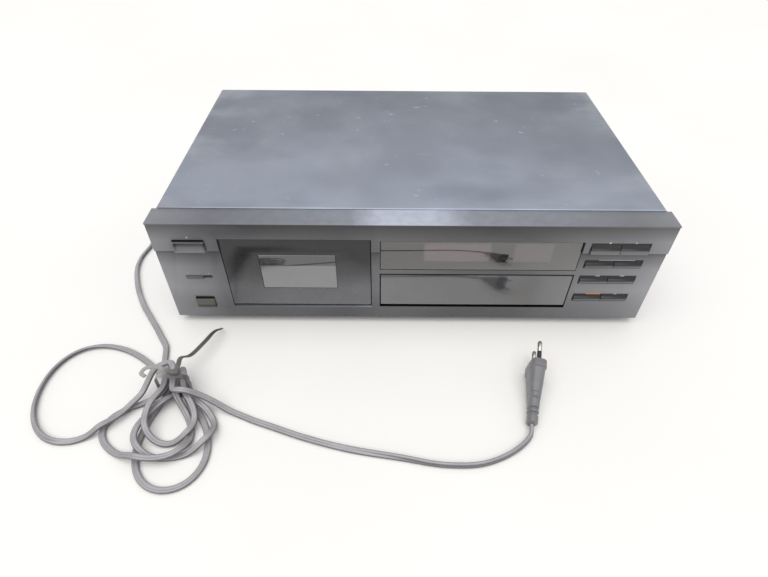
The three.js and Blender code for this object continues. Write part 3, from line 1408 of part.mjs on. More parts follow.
// Heights of the bundle: each strand lies on those laid before it, with a limited slope
function stackedHeights(plan) {
  const base = cord.rest + cord.thick / 2;
  const pitch = cord.thick + knot.stackGap;
  const apart = cord.width + knot.planGap;
  const steps = plan.slice(1).map((point, i) => Math.hypot(point[0] - plan[i][0], point[1] - plan[i][1]));
  const heights = plan.map(([x, y]) => {
    const inTie = Math.abs(y - knot.y) < tie.width + knot.reach && Math.abs(x - knot.x) < knot.columnPitch * 2;
    return base + (inTie ? tie.thick + seatGap * 2 : 0);
  });
  const skip = Math.ceil((apart * 3) / steps[0]);
  const passes = [];
  for (let k = skip; k < steps.length; k += 1) {
    for (let j = 0; j <= k - skip; j += 1) {
      const reachable = Math.hypot(plan[k][0] - plan[j][0], plan[k][1] - plan[j][1]) < steps[0] * 2 + apart;
      const pass = reachable ? nearestPass(plan[k], plan[k + 1], plan[j], plan[j + 1]) : null;
      if (pass && pass.distance < apart) passes.push([k, j, pass]);
    }
  }
  for (let round = 0; round < settleRounds; round += 1) {
    let worst = 0;
    for (const [k, j, { s, t }] of passes) {
      const under = heights[j] + (heights[j + 1] - heights[j]) * t;
      const lack = under + pitch - (heights[k] + (heights[k + 1] - heights[k]) * s);
      if (lack > weldDistance) {
        const shares = (1 - s) ** 2 + s ** 2;
        heights[k] += (lack * (1 - s)) / shares;
        heights[k + 1] += (lack * s) / shares;
        worst = Math.max(worst, lack);
      }
    }
    for (const order of [1, -1]) {
      for (let n = 1; n < heights.length; n += 1) {
        const i = order > 0 ? n : heights.length - 1 - n;
        const step = steps[order > 0 ? i - 1 : i];
        const least = heights[i - order] - steepestSlope * step;
        if (heights[i] < least) heights[i] = least;
      }
    }
    if (worst < weldDistance) break;
  }
  return heights;
}

const loopTotal = lowerLoops.length + 1;
const bundleSteps = loopTotal * (stepsPerLoop + stepsPerTurn) + stepsPerLoop;
const bundlePath = rounded(evenSteps(bundlePlan(), bundleSteps), 1);
const bundleHeights = stackedHeights(bundlePath);
const bundlePoints = bundlePath.map(([x, y], i) => new THREE.Vector3(x, y, bundleHeights[i]));

// Frames of the flat lead along points: its width stays level
function leadFrames(points) {
  return points.map((point, i) => {
    const before = points[Math.max(0, i - 1)];
    const after = points[Math.min(points.length - 1, i + 1)];
    const along = after.clone().sub(before).normalize();
    const across = new THREE.Vector3(-along.y, along.x, 0).normalize();
    return { point, along, across, over: new THREE.Vector3().crossVectors(along, across) };
  });
}

// Six-sided flat tube through the points of the bundle, closed at both ends
function bundleTube() {
  const ring = [[1, 0], [cord.edgeShare, 1], [-cord.edgeShare, 1], [-1, 0], [-cord.edgeShare, -1],
    [cord.edgeShare, -1]];
  const positions = [];
  for (const { point, across, over } of leadFrames(bundlePoints)) {
    for (const [a, b] of ring) {
      const corner = point.clone().addScaledVector(across, (a * cord.width) / 2).addScaledVector(over,
        (b * cord.thick) / 2);
      positions.push(corner.x, corner.y, corner.z);
    }
  }
  const sides = ring.length;
  const faces = [];
  for (let i = 0; i < bundlePoints.length - 1; i += 1) {
    for (let k = 0; k < sides; k += 1) {
      const a = i * sides + k;
      const b = i * sides + ((k + 1) % sides);
      faces.push(a, b, a + sides, b, b + sides, a + sides);
    }
  }
  const last = (bundlePoints.length - 1) * sides;
  for (let k = 1; k < sides - 1; k += 1) {
    faces.push(0, k + 1, k, last, last + k, last + k + 1);
  }
  const geometry = new THREE.BufferGeometry();
  geometry.setAttribute('position', new THREE.Float32BufferAttribute(positions, 3));
  geometry.setIndex(faces);
  geometry.computeVertexNormals();
  return geometry;
}

// Least gap of the bundle to itself: points on its surface against the flat boxes of distant steps
function leastGap() {
  const frames = leadFrames(bundlePoints);
  const near = Math.ceil((cord.width * 3) / bundlePoints[0].distanceTo(bundlePoints[1]));
  let least = Infinity;
  for (let i = 0; i < frames.length - 1; i += 1) {
    for (const t of [0, 0.25, 0.5, 0.75]) {
      const middle = frames[i].point.clone().lerp(frames[i + 1].point, t);
      for (const [a, b] of [[1, 0], [0.5, 1], [0, 1], [-0.5, 1], [-1, 0], [-0.5, -1], [0, -1], [0.5, -1]]) {
        const spot = middle.clone().addScaledVector(frames[i].across, (a * cord.width) / 2)
          .addScaledVector(frames[i].over, (b * cord.thick) / 2);
        for (let j = 0; j < frames.length - 1; j += 1) {
          if (Math.abs(j - i) < near) continue;
          const start = frames[j].point;
          const axis = frames[j + 1].point.clone().sub(start);
          const span = axis.length();
          axis.divideScalar(span);
          const offset = spot.clone().sub(start);
          const along = offset.dot(axis);
          if (along < 0 || along > span) continue;
          const across = new THREE.Vector3(-axis.y, axis.x, 0).normalize();
          const over = new THREE.Vector3().crossVectors(axis, across);
          const aside = Math.max(0, Math.abs(offset.dot(across)) - cord.width / 2);
          const above = Math.max(0, Math.abs(offset.dot(over)) - cord.thick / 2);
          least = Math.min(least, Math.hypot(aside, above));
        }
      }
    }
  }
  return least;
}
console.log(`least gap of the tied bundle to itself: ${leastGap().toFixed(2)} mm`);

// Top of the strands near a place
function pileTop(x, y, within) {
  let top = cord.rest;
  for (const point of bundlePoints) {
    if (Math.hypot(point.x - x, point.y - y) < within) top = Math.max(top, point.z + cord.thick / 2);
  }
  return top;
}

// Flat strip through plan points, lying above the strands
function strip(points, widthStart, widthEnd, thick) {
  const curve = new THREE.CatmullRomCurve3(points.map(([x, y, z]) => new THREE.Vector3(x, y, z)), false,
    'centripetal');
  const frames = leadFrames(curve.getSpacedPoints(points.length * 4));
  const positions = [];
  frames.forEach(({ point, across, over }, i) => {
    const half = (widthStart + ((widthEnd - widthStart) * i) / (frames.length - 1)) / 2;
    for (const [a, b] of [[half, 0], [half, thick], [-half, thick], [-half, 0]]) {
      const corner = point.clone().addScaledVector(across, a).addScaledVector(over, b);
      positions.push(corner.x, corner.y, corner.z);
    }
  });
  const faces = [];
  for (let i = 0; i < frames.length - 1; i += 1) {
    for (let k = 0; k < 4; k += 1) {
      const a = i * 4 + k;
      const b = i * 4 + ((k + 1) % 4);
      faces.push(a, b, a + 4, b, b + 4, a + 4);
    }
  }
  const last = (frames.length - 1) * 4;
  faces.push(0, 2, 1, 0, 3, 2, last, last + 1, last + 2, last, last + 2, last + 3);
  const geometry = new THREE.BufferGeometry();
  geometry.setAttribute('position', new THREE.Float32BufferAttribute(positions, 3));
  geometry.setIndex(faces);
  return toSolid(geometry);
}

function cableTie() {
  const neckTop = pileTop(knot.x, knot.y, knot.columnPitch * 2) + seatGap;
  const inside = knot.columnPitch + cord.width / 2 + knot.slack;
  const low = cord.rest;
  const corner = tie.thick * 3;
  const outer = roundedOutline(knot.x - inside - tie.thick, knot.x + inside + tie.thick, low,
    neckTop + tie.thick, corner);
  const inner = roundedOutline(knot.x - inside, knot.x + inside, low + tie.thick, neckTop,
    corner - tie.thick);
  const y0 = knot.y - tie.width / 2;
  const y1 = knot.y + tie.width / 2;
  const ring = alongY(outer, y0, y1).subtract(alongY(inner, y0 - cutOver, y1 + cutOver));
  const over = (x, y) => Math.max(pileTop(x, y, knot.columnPitch * 1.5) + seatGap * 2, neckTop / 2);
  const tail = tieTail.map(([x, y], i) => [x, y, i === tieTail.length - 1 ? tieTipHeight : Math.max(over(x,
    y), tieTipHeight)]);
  tail[0][2] = neckTop + tie.thick / 2;
  const stub = tieStub.map(([x, y]) => [x, y, neckTop + tie.thick / 2]);
  const head = block(knot.x + seatGap, knot.x + seatGap + tie.headWidth, knot.y,
    knot.y + tie.headWidth / 1.5,
    neckTop + tie.thick / 2, neckTop + tie.thick / 2 + tie.headHigh);
  return joinAll([ring, head, strip(tail, tie.width, tie.tipWidth, tie.thick),
    strip(stub, tie.width, tie.width, tie.stubThick)]);
}

// Mains plug in its own frame: +X runs to the pins, y across them, z through its thickness
function plugBody() {
  const front = plug.length;
  const cone = new THREE.CylinderGeometry(plug.coneWidth / 2, plug.neckWidth / 2, front - plug.flange / 2,
    roundTurn);
  cone.rotateZ(-Math.PI / 2);
  cone.scale(1, 1, plug.neckThick / plug.neckWidth);
  cone.translate((front - plug.flange / 2) / 2, 0, 0);
  const slab = block(-cutOver, front, -plug.width, plug.width, -plug.thick / 2 + sheet / 2,
    plug.thick / 2 - sheet / 2);
  const flange = alongX(
    roundedOutline(-plug.width / 2, plug.width / 2, -plug.thick / 2, plug.thick / 2, plug.corner),
    front - plug.flange, front);
  const wings = block(plug.wingAt - plug.wingLong / 2, plug.wingAt + plug.wingLong / 2, -plug.wing,
    plug.wing,
    -plug.neckThick / 4, plug.neckThick / 4);
  const bores = [-1, 1].map((side) => rodX((side * plug.pinPitch) / 2, 0, front - plug.pinRoot,
    front + cutOver,
    plug.pin + seatGap));
  return cutAll(joinAll([toSolid(cone).intersect(slab), flange, wings]), bores);
}

function plugPin(side) {
  const y = (side * plug.pinPitch) / 2;
  const shaft = rodX(y, 0, plug.length - plug.pinRoot + seatGap, plug.length + plug.pinLong - plug.pin / 2,
    plug.pin);
  const tip = new THREE.CylinderGeometry(plug.pin / 2, plug.pin, plug.pin / 2, smallTurn);
  tip.rotateZ(-Math.PI / 2);
  tip.translate(plug.length + plug.pinLong - plug.pin / 4, y, 0);
  return shaft.add(toSolid(tip));
}

function turned(solid) {
  const geometry = toGeometry(solid);
  geometry.rotateX(radians(-plug.roll));
  geometry.rotateY(radians(-plug.pitch));
  geometry.rotateZ(radians(plug.heading));
  geometry.translate(plug.x, plug.y, 0);
  return geometry;
}

const plugGeometry = turned(plugBody());
plugGeometry.computeBoundingBox();
const plugLift = cord.rest - plugGeometry.boundingBox.min.z;
const raised = (geometry) => geometry.translate(0, 0, plugLift);

// Straight pieces of the lead next to what it meets
function beside(place, heading, pitch, distance) {
  const level = Math.cos(radians(pitch)) * distance;
  const [hx, hy] = headingOf(heading);
  return [place[0] + hx * level, place[1] + hy * level, place[2] + Math.sin(radians(pitch)) * distance];
}
const bundleFoot = cord.rest + cord.thick / 2;
const firstPlace = [bundleStart.x, bundleStart.y, bundleFoot];
const lastPlace = [bundleEnd.x, bundleEnd.y, bundleFoot];
const plugPlace = [plug.x, plug.y, plugLift];
const exitPlace = [rear.cordSide, cordExitY, up(rear.cordUp)];
const leadPoints = [
  exitPlace, beside(exitPlace, 90, 0, cord.width), ...leadRoute,
  beside(firstPlace, bundleStart.heading, 0, -cord.width * 1.5), beside(firstPlace, bundleStart.heading, 0,
    -seatGap),
];
const tailPoints = [
  beside(lastPlace, bundleEnd.heading, 0, seatGap), beside(lastPlace, bundleEnd.heading, 0,
    cord.width * 1.5), ...tailRoute,
  beside(plugPlace, plug.heading, plug.pitch, -cord.width * 1.5), beside(plugPlace, plug.heading,
    plug.pitch, -seatGap),
];

addPiece('chassis', chassis(), looks.zinc);
addPiece('top_cover', topCover(), looks.painted);
addPiece('rear_panel', rearPanel(), looks.painted);
addPiece('front_panel', frontPanel(), looks.panel);
for (const [name, side, y] of [['front_left', -1, foot.front], ['front_right', 1, foot.front],
  ['rear_left', -1, foot.rear], ['rear_right', 1, foot.rear]]) {
  addPiece(`foot_${name}`, footSolid(side * (panelHalf - foot.inset), y), looks.dark);
}
addPiece('display_window', displayWindow(), looks.smoked);
addPiece('display_tube', displayTube(), looks.glass);
addPiece('front_board', frontBoard(), looks.board);
addPiece('door_panel', doorPanel(), looks.panel);
addPiece('door_window', doorPane(), looks.smoked);
addPiece('cassette_holder', cassetteHolder(), looks.dark);
addPiece('damper_gear', damperGear(), looks.white);
addPiece('door_damper', doorDamper(), looks.dark);
addPiece('transport_plate', transportPlate(), looks.zinc);
addPiece('spindle_left', spindleHub(-1), looks.white);
addPiece('spindle_right', spindleHub(1), looks.white);
addPiece('head_plate', headPlate(), looks.zinc);
addPiece('play_head', headSolid(0, playHead), looks.steel);
addPiece('erase_head', headSolid(eraseHead.side, eraseHead), looks.white);
addPiece('pinch_arm', pinchArm(), looks.steel);
addPiece('pinch_roller', pinchRoller(), looks.rubber);
addPiece('capstan_flywheel', capstanFlywheel(), looks.brass);
addPiece('drive_belt', driveBelt(), looks.rubber);
addPiece('flywheel_bracket', flywheelBracket(), looks.zinc);
addPiece('capstan_motor', capstanMotor(), looks.steel);
addPiece('motor_pulley', motorPulley(), looks.brass);
addPiece('power_button', powerButton(), looks.panel);
addPiece('power_switch', powerSwitch(), looks.dark);
addPiece('timer_knob', timerKnob(), looks.panel);
addPiece('timer_switch', timerSwitch(), looks.steel);
addPiece('eject_button', ejectButton(), looks.panel);
eachKey((name, row, left, right) => addPiece(name, keySolid(row, left, right), looks.panel));
addPiece('control_flap', controlFlap(), looks.panel);
addPiece('control_well', controlWell(), looks.dark);
addPiece('record_level_knob', knobSolid(levelSide, levelKnob), looks.panel);
addPiece('balance_knob', knobSolid(balanceSide, smallKnob), looks.panel);
addPiece('bias_knob', knobSolid(biasSide, smallKnob), looks.panel);
addPiece('noise_reduction_slider', sliderKnob(), looks.panel);
addPiece('phones_socket', phonesSocket(), looks.dark);
addPiece('jack_block', jackBlock(), looks.dark);
addPiece('strain_relief', strainRelief(), looks.rubber);
addPiece('transformer', transformer(), looks.copper);
addPiece('main_board', mainBoardSolid(), looks.board);
addPiece('cord_lead', leadAlong(leadPoints), looks.lead);
addPiece('cord_bundle', bundleTube(), looks.lead);
addPiece('cord_tail', leadAlong(tailPoints), looks.lead);
addPiece('cable_tie', cableTie(), looks.white);
addPiece('plug_body', raised(plugGeometry), looks.dark);
addPiece('plug_pin_left', raised(turned(plugPin(1))), looks.steel);
addPiece('plug_pin_right', raised(turned(plugPin(-1))), looks.steel);

export default deck;
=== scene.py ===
import math

import bmesh
import bpy
from bpy.props import FloatProperty, FloatVectorProperty, IntProperty, PointerProperty
from mathutils import Matrix, Vector


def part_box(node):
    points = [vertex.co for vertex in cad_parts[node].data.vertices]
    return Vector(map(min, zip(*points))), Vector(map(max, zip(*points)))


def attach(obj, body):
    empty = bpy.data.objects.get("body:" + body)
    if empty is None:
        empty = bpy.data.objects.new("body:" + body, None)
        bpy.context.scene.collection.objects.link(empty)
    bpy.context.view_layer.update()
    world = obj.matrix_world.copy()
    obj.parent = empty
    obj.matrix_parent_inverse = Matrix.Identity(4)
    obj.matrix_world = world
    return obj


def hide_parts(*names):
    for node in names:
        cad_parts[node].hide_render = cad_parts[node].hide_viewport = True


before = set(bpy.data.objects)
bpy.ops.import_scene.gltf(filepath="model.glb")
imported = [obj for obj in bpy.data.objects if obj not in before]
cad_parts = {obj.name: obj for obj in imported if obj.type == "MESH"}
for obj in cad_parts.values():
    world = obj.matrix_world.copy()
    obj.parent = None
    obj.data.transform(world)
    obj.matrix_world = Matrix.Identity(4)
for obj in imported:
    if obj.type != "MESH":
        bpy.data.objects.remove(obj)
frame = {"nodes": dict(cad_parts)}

bl_info = {
    "name": "Cassette deck",
    "version": (1, 0, 0),
    "blender": (4, 5, 0),
    "location": "3D View > Sidebar > Deck",
    "description": "Dresses the packed cassette deck and builds its lead, plug, tie, marks and stage",
    "category": "Object",
}

MM = 0.001
NODES = frame["nodes"]

# Blender's own start-up objects, where there are any
for startup in ("Cube", "Light", "Camera"):
    if startup in bpy.data.objects:
        bpy.data.objects.remove(bpy.data.objects[startup], do_unlink=True)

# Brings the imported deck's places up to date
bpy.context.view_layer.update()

# Where the front's faces below and above its step lie in y, and how high the feet lift the case
FACE = -131.35
UPPER_FACE = -132.85
LIFT = 8.0

# Angles between faces: below the first they count as flat, below the second they shade smoothly, and over the
# third their edge gets rounded
FLAT_BELOW = math.radians(0.6)
SMOOTH_BELOW = math.radians(32)
ROUND_OVER = math.radians(38)

# Outer edges of the painted shade round the front's openings, in millimetres: from left to right, then from
# low to high
PAINTED_SHADE_RIMS = (
    ((-26.9, 145.3), [(21.6, 62.9)]),
    ((-26.6, 144.9), [(67.4, 100.1)]),
    ((150.0, 200.6), [(30.7, 40.2), (52.3, 62.2), (70.6, 80.2), (86.2, 99.4)]),
)

# Middle line of the lead, from the grommet round the deck to the tied bundle
LEAD_POINTS = [
    (-185, 150.7, 30), (-185, 156.5, 30), (-185, 168, 29), (-190, 186, 24), (-203, 200, 15), (-222, 207, 6),
    (-245, 203, 2.7), (-263, 185, 2.1), (-274, 160, 2), (-280, 130, 2), (-283, 95, 2), (-284, 60, 2),
    (-284, 20, 2), (-284, -22, 2), (-287.2, -36.2, 2), (-286.4, -54.2, 2), (-280.8, -72.6, 2),
    (-273, -90.1, 2), (-260.7, -111.4, 2), (-247.5, -129.3, 2), (-236.3, -144.2, 2), (-227.8, -156.5, 2),
    (-221.3, -165.5, 1.9),
]

# The tied bundle, one unbroken run of loops
BUNDLE_POINTS = [
    (-219.5, -174, 1.9), (-218, -181.1, 1.9), (-215.5, -187.8, 1.9), (-211.7, -193.9, 1.9),
    (-207.6, -199.7, 1.9), (-204.8, -206.2, 1.9), (-203.9, -213.2, 3.4), (-204.4, -220.3, 3.4),
    (-206.4, -227, 3.4), (-209, -233.7, 1.9), (-211.2, -240.6, 1.9), (-212.7, -247.7, 1.9),
    (-213.5, -254.9, 1.9), (-213.7, -262.1, 1.9), (-213, -269.3, 1.9), (-211.4, -276.3, 1.9),
    (-208.8, -283, 1.9), (-205.1, -289.2, 1.9), (-200.2, -294.4, 1.9), (-194.2, -298.3, 1.9),
    (-187.5, -300.5, 1.9), (-180.4, -300.7, 1.9), (-173.6, -299, 1.9), (-167.5, -295.3, 1.9),
    (-162.8, -290.1, 1.9), (-159.6, -283.7, 1.9), (-158, -276.7, 1.9), (-157.9, -269.6, 1.9),
    (-159.1, -262.5, 1.9), (-161.3, -255.6, 1.9), (-164.3, -249, 1.9), (-168.1, -242.8, 1.9),
    (-172.4, -237, 1.9), (-177.2, -231.7, 1.9), (-182.6, -226.9, 3.4), (-186.8, -221.8, 3.4),
    (-188.2, -215.3, 3.4), (-188.7, -208.1, 3.4), (-190.7, -203, 1.9), (-193.8, -203.4, 1.9),
    (-195.7, -209, 3.4), (-196.1, -216.1, 3.4), (-197.7, -222.6, 6.4), (-201.8, -228, 10.5),
    (-206.8, -233.2, 8.7), (-211, -239.1, 7.6), (-214.4, -245.4, 7.8), (-216.4, -252.3, 8.5),
    (-216.4, -259.3, 8.8), (-213.9, -265.7, 9), (-209, -270.6, 6.8), (-202.7, -273.8, 2.5),
    (-195.7, -275.3, 1.9), (-188.5, -275.5, 1.9), (-181.4, -274.6, 1.9), (-174.4, -272.7, 1.9),
    (-167.9, -269.6, 4.5), (-162.3, -265.3, 8.8), (-158.1, -259.7, 8.8), (-156.5, -253, 6.5),
    (-157.7, -246.2, 2.4), (-161.2, -240, 2.1), (-166.1, -234.8, 6.4), (-171.9, -230.5, 8.8),
    (-178.1, -226.9, 10.2), (-183.9, -223.5, 8), (-187.3, -218.7, 8.1), (-188.4, -212.1, 8),
    (-190, -205.4, 10.1), (-194.2, -201.2, 6.6), (-199.4, -202.1, 6.6), (-202.8, -207.4, 8.9),
    (-203.7, -214.5, 9.4), (-205.3, -220.3, 9), (-210, -223.5, 8), (-216.8, -225.3, 3.8),
    (-223.7, -227.4, 1.9), (-230.3, -230.3, 1.9), (-236.4, -234, 1.9), (-241.7, -238.8, 1.9),
    (-245.2, -244.8, 1.9), (-246, -251.6, 1.9), (-243.7, -258.1, 1.9), (-239.4, -263.7, 1.9),
    (-233.8, -268.2, 1.9), (-227.6, -271.9, 1.9), (-221, -274.8, 5), (-214.1, -276.9, 9.4),
    (-207, -278.4, 9.5), (-199.8, -279, 8.7), (-192.6, -278.7, 8.4), (-185.7, -277, 8.2),
    (-179.6, -273.6, 8.7), (-175.2, -268.2, 6.9), (-173.5, -261.6, 2.8), (-174.2, -254.5, 1.9),
    (-176.5, -247.7, 1.9), (-179.9, -241.4, 1.9), (-184, -235.4, 3.4), (-188.7, -229.9, 7.8),
    (-193, -224.5, 12), (-195.4, -218.3, 11), (-195.8, -211.4, 13.3), (-194.5, -204.7, 17.4),
    (-191.7, -202.1, 19.2), (-189.2, -205.9, 21.9), (-188.3, -212.9, 17.7), (-187.3, -219.6, 13.6),
    (-184.1, -225.2, 17.4), (-179.5, -230.5, 14.8), (-175.5, -236.4, 10.5), (-173.2, -243.1, 6.5),
    (-173.3, -250.1, 6.5), (-176.1, -256.3, 8.5), (-181.2, -261, 4.3), (-187.7, -263.6, 1.9),
    (-194.7, -263.8, 1.9), (-201.3, -261.7, 4.5), (-206.7, -257.3, 8.7), (-210.1, -251.2, 12.8),
    (-211.2, -244.2, 12.4), (-210.5, -237.1, 15.2), (-208.2, -230.4, 15.8), (-205.5, -223.8, 15.1),
    (-204, -217, 14.2), (-204.6, -210.2, 15.4), (-207.8, -204.7, 13.5), (-213.2, -200.6, 9.4),
    (-218.6, -196, 5.3), (-223.7, -190.9, 1.9), (-229.1, -186, 1.9), (-234.8, -181.6, 1.9),
    (-240.7, -177.5, 1.9), (-247, -173.8, 1.9), (-253.5, -170.6, 1.9), (-260.2, -168, 1.9),
    (-267.2, -166, 1.9), (-274.3, -165, 1.9), (-281.5, -165, 1.9), (-288.5, -166.3, 1.9),
    (-295.1, -169.1, 1.9), (-300.9, -173.2, 1.9), (-305.7, -178.6, 1.9), (-309.4, -184.7, 1.9),
    (-311.9, -191.4, 1.9), (-313.5, -198.5, 1.9), (-314.1, -205.7, 1.9), (-314, -212.9, 1.9),
    (-313.1, -220.1, 1.9), (-311.5, -227.1, 1.9), (-309.1, -233.9, 1.9), (-306, -240.5, 1.9),
    (-302.1, -246.5, 1.9), (-297.4, -252, 1.9), (-291.9, -256.6, 1.9), (-285.7, -260, 1.9),
    (-278.8, -262, 1.9), (-271.7, -262.4, 1.9), (-264.6, -261.3, 1.9), (-257.9, -258.8, 1.9),
    (-251.6, -255.3, 4.4), (-245.8, -251, 8.7), (-240.5, -246.1, 6.5), (-235.6, -240.7, 6.5),
    (-231.2, -235, 6.5), (-227.1, -229, 8.7), (-223.5, -222.7, 7.4), (-220.3, -216.3, 11.8),
    (-217.5, -209.6, 16.1), (-214.3, -203.2, 20.4), (-209.5, -198.7, 19.4), (-203.5, -198, 20.9),
    (-198.8, -201.9, 24.6), (-196.6, -208.4, 22), (-196, -215.6, 17.9), (-195.1, -222.4, 17.7),
    (-191.3, -226.9, 21.2), (-185, -228, 25.1), (-177.8, -227.7, 20.8), (-170.6, -228, 16.4),
    (-163.5, -229.3, 12.1), (-156.5, -231.2, 7.8), (-149.6, -233.4, 3.4), (-142.7, -235.8, 1.9),
    (-136, -238.5, 1.9),
]

# From the bundle to the plug
TAIL_POINTS = [
    (-128.1, -242, 1.9), (-114, -247, 2), (-89, -256, 2), (-49, -267, 2), (-10, -274, 2), (24.5, -280, 2),
    (55, -278.5, 2.2), (70, -273, 2.6), (83, -265.5, 3.4), (93.5, -255.1, 4.3), (95.3, -247.1, 6),
]

# The tie: its neck round the bundle, its long tail and its curled stub
NECK_AT = (-196.0, -217.0)
NECK_HALF = 12.6
NECK_LOW = 0.2
NECK_TOP = 27.1
TIE_TAIL = [
    (-192.5, -215, 28.2), (-191.4, -209, 28.9), (-192.6, -199, 27), (-190, -187, 16.5), (-183, -170, 13.9),
    (-178, -155, 11.5), (-175, -144, 3.6),
]
TIE_STUB = [
    (-196, -214.5, 28.3), (-201, -212, 28.7), (-207, -209.5, 28.4), (-213.4, -208.6, 28), (-218, -210.6, 28),
    (-219, -215.6, 28.4), (-214.5, -219, 29),
]

# Turn that points a piece's X to the deck's rear
BACKWARD = Matrix.Rotation(math.radians(90), 4, "Z")

# The plug's own frame: X runs from the lead's end to the pins
PLUG_PLACE = (
    Matrix.Translation((95.4, -246.8, 6.026)) @ Matrix.Rotation(math.radians(77), 4, "Z")
    @ Matrix.Rotation(math.radians(-11.5), 4, "Y") @ Matrix.Rotation(math.radians(-86), 4, "X")
)


# Sizes and colours that a user would change

def colour(name, description, value):
    """A colour setting."""
    return FloatVectorProperty(
        name=name, description=description, default=value, size=3, min=0.0, max=1.0, subtype="COLOR")


def length(name, description, value, low=0.0, high=1.0):
    """A length setting, in metres."""
    return FloatProperty(
        name=name, description=description, default=value, min=low, max=high, precision=5,
        unit="LENGTH", subtype="DISTANCE")


def factor(name, description, value, low=0.0, high=1.0):
    """A setting without a unit."""
    return FloatProperty(
        name=name, description=description, default=value, min=low, max=high, subtype="FACTOR")


class DeckStage(bpy.types.PropertyGroup):
    """Camera, light and table."""

    lens: FloatProperty(
        name="Focal length", description="Focal length of the camera", default=24.245, min=10.0, max=200.0,
        unit="CAMERA")
    sky: factor("Room light", "Strength of the even light of the room", 0.56, 0.0, 2.0)
    wall: factor("Wall", "Brightness of the plain wall behind, as seen and mirrored", 0.86, 0.0, 1.0)
    sky_colour: colour("Room colour", "Colour of the even light of the room", (0.955, 0.975, 1.0))
    window: factor("Window light", "Strength of the soft light from above and in front", 1.8, 0.0, 5.0)
    window_spread: FloatProperty(
        name="Window spread", description="Angle over which the window light spreads",
        default=math.radians(70), min=0.0, max=math.pi, subtype="ANGLE")
    floor: colour("Table colour", "Colour of the table", (0.965, 0.945, 0.92))


class DeckColours(bpy.types.PropertyGroup):
    """Colours of the deck's finishes."""

    cover: colour("Cover", "Satin paint of the top cover", (0.2, 0.22, 0.265))
    panel: colour("Front", "Satin moulding of the front and the keys", (0.072, 0.073, 0.078))
    gloss: colour("Flap and door", "Glossy moulding of the flap and the cassette door", (0.045, 0.045, 0.05))
    smoked: colour("Windows", "Smoked windows", (0.05, 0.051, 0.053))
    lead: colour("Lead", "Soft sheath of the lead", (0.36, 0.347, 0.364))
    plug: colour("Plug", "Moulding of the plug", (0.2, 0.2, 0.21))
    tie: colour("Tie", "Plastic of the cable tie", (0.5, 0.49, 0.47))
    marks: colour("Marks", "Printed marks of the front", (0.42, 0.42, 0.42))
    record: colour("Record mark", "Mark over the record key", (0.62, 0.2, 0.06))


class DeckSizes(bpy.types.PropertyGroup):
    """Small sizes of the added pieces."""

    edge: length("Soft edge", "Radius of the soft edges of mouldings and sheet", 0.35 * MM, 0.0, 0.002)
    lead_width: length("Lead width", "Width of the flat lead", 5.3 * MM, 0.001, 0.01)
    lead_thick: length("Lead thickness", "Thickness of the flat lead", 3.0 * MM, 0.001, 0.01)
    pin: length("Pin radius", "Radius of the plug's pins", 2.0 * MM, 0.001, 0.004)
    screw: length("Screw radius", "Radius of the cover's screw heads", 3.2 * MM, 0.001, 0.006)
    mark_thick: length("Mark thickness", "Thickness of the printed marks", 0.04 * MM, 0.0, 0.001)
    ring_steps: IntProperty(
        name="Round steps", description="Facets round a turned piece", default=32, min=8, max=96)


# Materials

